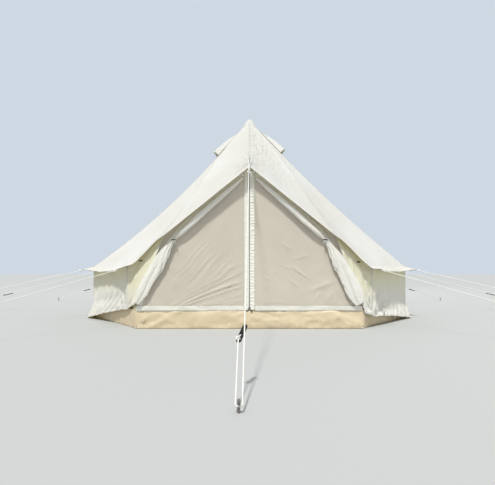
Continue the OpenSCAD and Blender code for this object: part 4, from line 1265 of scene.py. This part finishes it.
def curve_through(rows, n):
    """Smooth run through rows of numbers, by their distance along the first two."""
    s = np.concatenate([[0], np.cumsum(np.hypot(*np.diff(rows[:, :2], axis=0).T))])
    at = np.linspace(0, s[-1], n)
    i = np.clip(np.searchsorted(s, at, "right") - 1, 0, len(s) - 2)
    h = (s[i + 1] - s[i])[:, None]
    t = ((at - s[i])[:, None] / h).clip(0, 1)
    m = np.gradient(rows, s, axis=0)
    m[-1] = (rows[-1] - rows[-2]) / (s[-1] - s[-2])
    return ((2 * t ** 3 - 3 * t ** 2 + 1) * rows[i] + (t ** 3 - 2 * t ** 2 + t) * h * m[i]
            + (-2 * t ** 3 + 3 * t ** 2) * rows[i + 1] + (t ** 3 - t ** 2) * h * m[i + 1]), at


def flap_axes(st):
    d = unit(np.gradient(st[:, :2], axis=0))
    across = np.stack([-d[:, 1], 0 * d[:, 0], d[:, 0]], -1)
    centre = np.stack([st[:, 0], -face_y(st[:, 1]) - st[:, 3] * 1.04 - SEAT, st[:, 1]], -1)
    return centre, across


def flap_roll(side):
    """The rolled part: one sheet wound more than seven turns into a flattened roll."""
    roll, hang = flap_stations(side)
    st, along = curve_through(np.concatenate([roll, hang[:1] * [1, 1, 0.9, 1]]), 120)
    centre, across = flap_axes(st)
    seed = 6 if side == "left" else 17
    a = 2 * np.pi * np.concatenate([np.linspace(-2.06, 4.1, 76)[:-1], np.linspace(4.1, 5.6, 50)])
    turn = (a - a[0]) / (a[-1] - a[0])
    grow = 0.25 + 0.75 * turn
    aa, ss = np.meshgrid(a, along, indexing="ij")
    loose = 0.05 * noise(aa * 1.1, ss / 0.06, seed) + 0.07 * noise(aa * 0.7, ss / 0.22, seed + 1)
    spiral = 0.06 * np.sin(aa * 2 - ss * 22) * ease(ss, 0.05, 0.3)
    r = grow[:, None] * (1 + (loose + spiral) * turn[:, None] ** 7)
    r = r * (1 - 0.14 * ease(ss, along[-1] - 0.16, along[-1] - 0.02))
    off = r * np.cos(aa + 2.3) * st[None, :, 2]
    deep = r * np.sin(aa + 2.3) * st[None, :, 3]
    p = centre[None] + off[..., None] * across[None]
    p[..., 1] += deep
    uv = pairs(aa * 0.02, ss)
    return half_shell(p, uv, 0.0008, side, "left")


def flap_fall(side):
    """The hanging part, gathered at the tie: a folded sheet that is open towards the wall."""
    roll, hang = flap_stations(side)
    st, along = curve_through(np.concatenate([roll[-1:], hang]), 96)
    centre, across = flap_axes(st)
    seed = 7 if side == "left" else 18
    a = np.radians(np.linspace(-176, 172, 100))
    aa, ss = np.meshgrid(a, along, indexing="ij")
    full = along[-1]
    front = ease(-np.sin(aa), 0.0, 0.35)
    back = ease(np.sin(aa), 0.0, 0.35)
    tight = np.exp(-ss / 0.10)
    pleats = np.sin(aa * mix(9, 5, ease(ss, 0.05, 0.4)) + 1.2 * noise(ss / 0.2, aa * 1.5, seed) + ss * 3)
    pleats = pleats * (0.10 + 0.22 * tight) * (1 - 0.7 * back)
    crush = 0.16 * (creases(aa * 2.2 + ss * 5, ss / 0.075 - aa, seed + 2) - 0.3) * front * ease(ss, 0.06, 0.2)
    fold = -0.30 * bell(aa + 1.2 + 0.9 * ss / full, 0, 0.22) * front * ease(ss, 0.08, 0.3)
    r = 1 + pleats + crush + fold + 0.06 * noise(aa, ss / 0.12, seed + 4)
    r = np.minimum(r, 1.22)
    wide = np.cos(aa)
    sink = np.sin(aa)
    sink = np.where(sink > 0, np.minimum(1.0, 1.45 * sink), sink)
    lean = face_y(st[:, 1])
    edge = 1 + 0.05 * noise(ss / 0.09, 0.3, seed + 5)
    off = np.where(sink > 0, np.minimum(r, 1.05), r) * wide * edge * st[None, :, 2]
    p = centre[None] + off[..., None] * across[None]
    p[..., 1] += lean[None] - face_y(p[..., 2]) + np.where(sink > 0, 1, r) * sink * st[None, :, 3]
    uv = pairs(aa * 0.06, ss)
    return half_shell(p, uv, 0.0008, side, "left")


def tie_frame(side):
    roll, hang = flap_stations(side)
    st = np.concatenate([roll[-2:], hang[:1]])
    centre, across = flap_axes(st)
    d = unit((centre[2] - centre[0]) * np.array([1, 0, 1]))
    return centre[1], across[1], np.array([0, 1.0, 0]), d, st[1]


def flap_tie(side):
    """Three turns of cord, a knot in front and two loose ends."""
    c, u, v, d, st = tie_frame(side)
    a = np.linspace(0, 2 * np.pi * 3, 120)
    r = np.stack([(st[2] * 1.02 + 0.0034) * np.cos(a), (st[3] * 1.02 + 0.0034) * np.sin(a)], -1)
    coil = c + r[:, :1] * u + r[:, 1:] * v + (a / a[-1] - 0.5)[:, None] * 0.016 * d
    shapes = [cord(mirror(coil, side), 0.0024)]
    front = c - v * (st[3] + 0.008) - u * 0.004
    shapes.append(knot(mirror(front, side), mirror(d, side), 0.0026, 0.0085))
    for dx, dz in ((0.022, -0.055), (-0.016, -0.042)):
        tail = np.array([[0, 0, 0], [dx * 0.4, -0.006, -0.004], [dx, -0.008, dz * 0.55],
                         [dx * 0.9, -0.002, dz]])
        shapes.append(cord(mirror(front + tail, side), 0.0022))
    loop = np.array([[0, 0, 0], [0.014, -0.010, 0.014], [0.028, -0.008, 0.006],
                     [0.018, -0.006, -0.006], [0, 0, 0]])
    shapes.append(cord(mirror(front + loop, side), 0.0022))
    return shapes


# Groundsheet
def plan_points():
    right = [np.array([HALF_W, -BASE_Y])] + [polar(RIM_R, rib_a(k), 0)[:2] for k in range(2, 8)]
    left = [p * [-1, 1] for p in right[:-1][::-1]]
    return np.array(right + left)


def rim_grid(rows):
    """The plan of the rim in even columns, with the wobble of slack sheeting."""
    plan = plan_points()
    c, out, seg = [], [], []
    for i in range(len(plan)):
        a, b = plan[i], plan[(i + 1) % len(plan)]
        n = int(np.linalg.norm(b - a) / RIM_STEP)
        f = np.arange(n) / n
        c.append(mix(a, b, f[:, None]))
        d = (b - a) / np.linalg.norm(b - a)
        out.append(np.tile([d[1], -d[0]], (n, 1)))
        seg.append(np.minimum(f, 1 - f) * np.linalg.norm(b - a))
    c, out, seg = np.concatenate(c), np.concatenate(out), np.concatenate(seg)
    s = np.arange(len(c)) * RIM_STEP
    h = np.asarray(rows)[None] / RIM_H
    ss = s[:, None]
    keep = ease(seg, 0.0, 0.05)[:, None]
    front = (c[:, 1] < -BASE_Y + 0.001)[:, None]
    slant = ss + 0.5 * h * RIM_H * np.sign(c[:, :1])
    wave = 0.008 * noise(slant / 0.21, h * 1.1, 8) + 0.008 * creases(slant / 0.15 + h * 0.5, h * 1.6, 25)
    wave = wave + 0.004 * creases(ss / 0.05 - h * 1.4, h * 3.1, 24)
    reach = HALF_W - np.abs(c[:, :1])
    rho, phi = np.hypot(reach, h * RIM_H), np.arctan2(h * RIM_H, reach + 0.001)
    fan = sharp(noise(phi * 3.4 + 0.3 * np.sign(c[:, :1]), rho * 2.5, 19))
    wave = wave + 0.016 * fan * np.exp(-rho / 0.4) * ease(rho, 0.02, 0.1) * front
    wave = wave + 0.002 * np.sin(ss / 0.03 + 5 * noise(ss / 0.3, 0.5, 9)) * h ** 2
    bulge = 4 * h * (1 - h)
    wave = wave * mix(bulge, 1.0, 0.35) * np.where(front, 1.5, 0.7) * keep * ease(h, 0, 0.2)
    wave = np.where(front, wave - 0.001, np.minimum(wave, 0.004))
    top = np.where(front, -rim_dip(c[:, :1]) * h ** 2, 0.004 * noise(ss / 0.2, 0.5, 27) * h ** 3)
    p = np.zeros((len(c), len(rows), 3))
    p[..., :2] = c[:, None] + out[:, None] * wave[..., None]
    p[..., 2] = np.asarray(rows)[None] + (top - 0.0025 * (h > 0.9)) * keep
    return p, pairs(ss, np.asarray(rows)[None]), out


def rim_shapes():
    rows = np.concatenate([[0.0015], np.linspace(0.012, RIM_H, 11)])
    p, uv, out = rim_grid(rows)
    band = shell(p, uv, 0.0016, wrap=True, flip=False)
    c = p[:, -1] - np.array([0, 0, 0.0035])
    a = np.concatenate([out, np.zeros((len(out), 1))], -1)
    hem = sweep(c - a * 0.001, a, np.tile([0, 0, 1.0], (len(c), 1)), circle(0.0034, 8), closed=True)
    return band, hem


def floor_sheet():
    ring = rim_grid([0.0])[0]
    edge = ring[:, 0, :2] * 0.9985
    share = np.linspace(0.004, 1, 44)
    xy = edge[:, None] * share[None, :, None]
    x, y = xy[..., 0], xy[..., 1]
    height = 0.0022 + 0.0014 * fbm(x * 4, y * 4, 28) + 0.0012 * creases(x * 2.2, y * 2.2, 30)
    height = np.clip(height, 0.0012, 0.0062)
    post = np.minimum(np.hypot(x, y), np.hypot(np.abs(x) - 0.64, y + BASE_Y - 0.07))
    height = mix(0.0035, height, ease(post, 0.03, 0.09))
    p = np.concatenate([xy, height[..., None]], -1)
    return shell(p[::2], xy[::2], 0.001, wrap=True, flip=True)


# Guy ropes
def loop_centre(peg, out):
    return peg - (STRAND - ROPE_R - PEG_R - SEAT) * out


def strand_end(peg, out, side):
    return loop_centre(peg, out) + side * STRAND * np.array([-out[1], out[0], 0])


def slider_low(top, peg, out, at):
    end = strand_end(peg, out, 1)
    run = np.linalg.norm(end - top)
    return mix(top, end, at + 0.114 / run * 0.94) - 2 * STRAND * np.array([-out[1], out[0], 0])


def guy_line(top, peg, out, at):
    low = slider_low(top, peg, out, at)
    side = np.array([-out[1], out[0], 0])
    a = np.radians(np.linspace(0, 180, 13))[1:-1, None]
    bend = loop_centre(peg, out) + STRAND * (np.cos(a) * side + np.sin(a) * out)
    back = unit(low - strand_end(peg, out, -1))
    path = np.concatenate([[top, strand_end(peg, out, 1)], bend,
                           [strand_end(peg, out, -1), low, low + 0.003 * back]])
    tail = [low + 0.010 * back, low + 0.022 * back + side * 0.004,
            low + 0.034 * back + side * 0.012 - [0, 0, 0.004]]
    return [rope(path), knot(low + 0.0075 * back, back, ROPE_R * 0.9, 0.0098), rope(tail)]


def side_lines():
    for k, side in ribs_from(2):
        a = rib_a(k)
        top = polar(WALL_R + ROPE_R + SEAT, a, WALL_H - GUY_DROP - guy_slope(k) * (ROPE_R + SEAT))
        peg = polar(side_guy_r(k), a, GRIP_H)
        out = polar(1.0, a, 0.0)
        yield k, side, mirror(top, side), mirror(peg, side), mirror(out, side)


SPIKE_Y = mesh_y(PEAK_H) - 0.003 - 0.014 - 0.004
SPIKE_Z = float(rib_pt(0, (SPIKE_Y - CAP_R) / (face_y(PEAK_H) - CAP_R), "right")[2])
FRONT_RUN = face_y(PEAK_H) + PORCH_OUT - SPIKE_Y
FRONT_DROP = FRONT_RUN * (SPIKE_Z - GRIP_H) / (END_GUY_R - SPIKE_Y)
LOOP_Z = SPIKE_Z + max(0.024, 0.016 + FRONT_DROP - (SPIKE_Z - PEAK_H + PORCH_DROP))
FRONT_START = np.array([0, -SPIKE_Y, LOOP_Z])
FRONT_PEG = np.array([-0.042, -END_GUY_R, GRIP_H])
FRONT_KNOT = mix(FRONT_START, FRONT_PEG, FRONT_HITCH)


def front_line():
    run = unit(FRONT_START - FRONT_KNOT)
    at = (FRONT_SLIDER - FRONT_HITCH) / (1 - FRONT_HITCH)
    shapes = guy_line(FRONT_KNOT - run * 0.006, FRONT_PEG, np.array([0, -1.0, 0]), at)
    shapes.append(knot(FRONT_KNOT, run, ROPE_R, 0.0125))
    r = 0.004 + ROPE_R + SEAT
    a = np.radians(np.linspace(0, 180, 13))[:, None]
    bend = FRONT_START + r * np.concatenate([np.cos(a), np.sin(a), 0 * a], -1)
    start = FRONT_KNOT + run * 0.006
    path = np.concatenate([[start + [r * 0.5, 0, 0]], bend, [start - [r * 0.5, 0, 0]]])
    shapes.append(rope(path))
    tail = FRONT_KNOT + np.array([[0, 0, 0], [0.016, -0.004, -0.012], [0.022, -0.002, -0.034],
                                  [0.016, 0, -0.052]])
    shapes.append(rope(tail, 0.0036, rounds=2))
    return shapes


def eave_loop(k, side, top, peg):
    """Webbing loop from the tip of the valance round the rope, with the rope's hitch just beyond it."""
    run = unit(peg - top)
    tip = mirror(valance_pt(k if k < 7 else 6, 0.0 if k < 7 else 1.0, 1.0, "right"), side)
    at = top + run * (((tip - top) @ run) + 0.012)
    across = unit(np.cross(run, [0, 0, 1.0]))
    up = np.cross(across, run)
    path = [tip - run * 0.022 + up * 0.0015, tip + up * 0.002, at + up * 0.0075 + run * 0.004,
            at + run * 0.010, at - up * 0.0072 + run * 0.002, at - up * 0.006 - run * 0.016,
            tip - run * 0.022 - up * 0.0055]
    c = smooth_path(path, 0.0025, 2)
    n = np.tile(across, (len(c), 1))
    t = unit(np.gradient(c, axis=0))
    webbing = sweep(c, n, np.cross(t, n), flat_section(0.013, 0.0018))
    return webbing, knot(at + run * 0.021, run, ROPE_R * 0.95, 0.0108)


def ground_loop(p, out, inner):
    """Webbing loop from a hem to the small peg at p."""
    side = np.array([-out[1], out[0], 0])
    up = np.array([0, 0, 1.0])
    path = np.array([inner + side * 0.004, p - out * 0.010 + side * 0.0055, p + side * 0.0055,
                     p + out * 0.0052, p - side * 0.0055, p - out * 0.010 - side * 0.0055,
                     inner - side * 0.004])
    c = smooth_path(path + up * LOOP_H, 0.0025, 2)
    t = unit(np.gradient(c, axis=0))
    b = np.tile(up, (len(c), 1))
    return sweep(c, np.cross(b, t), b,
                 np.array([[0.0008, -0.006], [0.0008, 0.006], [0.0006, 0.0065], [-0.0006, 0.0065],
                           [-0.0008, 0.006], [-0.0008, -0.006], [-0.0006, -0.0065], [0.0006, -0.0065]]))


# Pieces
def panel_nodes(stem):
    return [f"{stem}_{side}_{i}" for side in SIDES for i in range(1, 6)]


def make_roof():
    roof = build("roof_canvas", [roof_sheet()], LOOKS["roof"], "canvas", *panel_nodes("roof"))
    front = build("roof_front", [roof_front()], LOOKS["roof"], "canvas", "roof_door_left", "roof_door_right")
    v = np.concatenate([np.linspace(0.03, 1, 120)[:-1], 1 + np.linspace(0, 0.97, 8)])
    strips = [roof_strip("right", 0, 0.009, v, 0.0014, 0.0024),
              roof_strip("right", 7, 0.008, v, 0.0014, 0.0022)]
    strips += [roof_strip(side, k, 0.008, v, 0.0014, 0.0022) for k in range(1, 7) for side in SIDES]
    seams = build("roof_seams", strips, LOOKS["seam"], "canvas")
    edge, _ = roof_loop(np.array([1.865, 1.9, 1.96, 2.012]), 0.0013)
    uv = pairs(np.array([-0.0088, -0.0045, 0.0027, 0.0088]), np.arange(len(edge))[:, None] * 0.028)
    hem = build("valance_hem", [shell(edge, uv, 0.0044, wrap=True, flip=True)], LOOKS["hem"], "canvas")
    patches = build("guy_patches", [guy_patch(side, k) for k, side in ribs_from(2)], LOOKS["patch"], "canvas")
    bands, nets = zip(*[window_band(side) for side in SIDES])
    bindings = build("window_bindings", bands, LOOKS["hem"], "canvas")
    cap = build("apex_canvas", [apex_cap()], LOOKS["roof"], "canvas", "apex_cap")
    net = build("vent_netting", nets, LOOKS["vent"], "vent_mesh", "vent_mesh")
    for side in SIDES:
        cloth, band = vent_hood(side)
        hood = build(f"hood_{side}", [cloth], LOOKS["roof"], "canvas", f"vent_hood_{side}")
        binding = build(f"hood_binding_{side}", [band], LOOKS["hem"], "canvas")
    return roof


def make_walls():
    p, uv = wall_run(WALL_G)
    cloth = shell(p, uv, CLOTH_T, flip=True)
    wall = build("wall_canvas", [cloth], LOOKS["wall"], "canvas", *panel_nodes("wall"))
    g = np.linspace(0, 1, 40)
    strips = [wall_strip(side, k, 0.008, g, 0.0012, 0.0030) for k, side in ribs_from(2)]
    seams = build("wall_seams", strips, LOOKS["hem"], "canvas")
    p, _ = wall_run(np.array([0.955, 0.975, 0.99, 1.0]), 0.0012)
    uv = pairs(np.array([-0.01, -0.0045, 0.003, 0.0095]), np.arange(len(p))[:, None] * 0.027)
    sides = [edge_strip(side, 0.02, np.linspace(0.01, 1, 60), 0.0012, 0.0042) for side in SIDES]
    hems = build("wall_hems", [shell(p, uv, 0.0042, flip=True)] + sides, LOOKS["hem"], "canvas")
    for side in SIDES:
        piece = build(f"wall_gusset_{side}", [gusset(side)], LOOKS["wall"], "canvas")
    return wall


def make_door(wall):
    tapes = build("zip_tapes", [zip_tape("left"), zip_tape("right")], LOOKS["tape"], "zip_tape", "door_zip")
    teeth, slider, pulls = zip_parts()
    teeth = build("zip_teeth", [teeth], LOOKS["teeth"], "zip_tape")
    pull = build("zip_slider", [slider, *pulls], LOOKS["teeth"], "pole_joint")
    for side in SIDES:
        net = build(f"netting_{side}", [mesh_half(side)], LOOKS["mesh"], "door_mesh", f"mesh_door_{side}")
        hem = build(f"netting_hem_{side}", [mesh_hem(side), edge_hem(side)], LOOKS["tape"], "canvas")
    cords = build("flap_cords", [shape for side in SIDES for shape in flap_tie(side)],
                  LOOKS["cord"], "cord", "flap_ties")
    for side in SIDES:
        parts = [flap_roll(side), flap_fall(side)]
        flap = build(f"flap_{side}", parts, LOOKS["flap"], "canvas", f"door_flap_{side}")


def make_ground():
    band, hem = rim_shapes()
    rim = build("sheet_rim", [band], LOOKS["sheet"], "groundsheet", "groundsheet_rim")
    edge = build("sheet_rim_edge", [hem], LOOKS["sheet"], "groundsheet")
    floor = build("sheet_floor", [floor_sheet()], LOOKS["sheet"], "groundsheet", "groundsheet_floor")


def make_lines():
    ropes, loops = [], []
    for k, side, top, peg, out in side_lines():
        ropes += guy_line(top, peg, out, SIDE_SLIDER)
        webbing, hitch = eave_loop(k, side, top, peg)
        loops.append(webbing)
        ropes.append(hitch)
    ropes += front_line()
    build("ropes", ropes, LOOKS["rope"], "rope", "guy_ropes")
    clear = 0.003 + SEAT
    for k, side in ribs_from(3):
        p, out, inner = (mirror(polar(r, rib_a(k), 0.0), side) for r in (TENT_R + clear, 1.0, 1.993))
        loops.append(ground_loop(p, out, inner))
    for x in (-1, 1):
        p = np.array([x * (HALF_W - 0.008), -BASE_Y - clear, 0])
        loops.append(ground_loop(p, np.array([0, -1.0, 0]), p + [0, 0.004, 0]))
    build("webbing_loops", loops, LOOKS["webbing"], "canvas")


def dress_nodes():
    looks = {"centre_pole_foot": "rubber", "centre_pole_lower": "pole", "centre_pole_upper": "pole",
             "door_pole_left": "pole", "door_pole_right": "pole", "door_pole_joint": "joint",
             "toggles": "toggle", "guy_sliders": "plastic", "guy_pegs": "peg", "wall_pegs": "wire"}
    for name, look in looks.items():
        obj = NODES[name]
        for slot in obj.material_slots:
            slot.material = LOOKS[look]


set_stage()
roof_piece = make_roof()
make_door(make_walls())
make_ground()
make_lines()
dress_nodes()
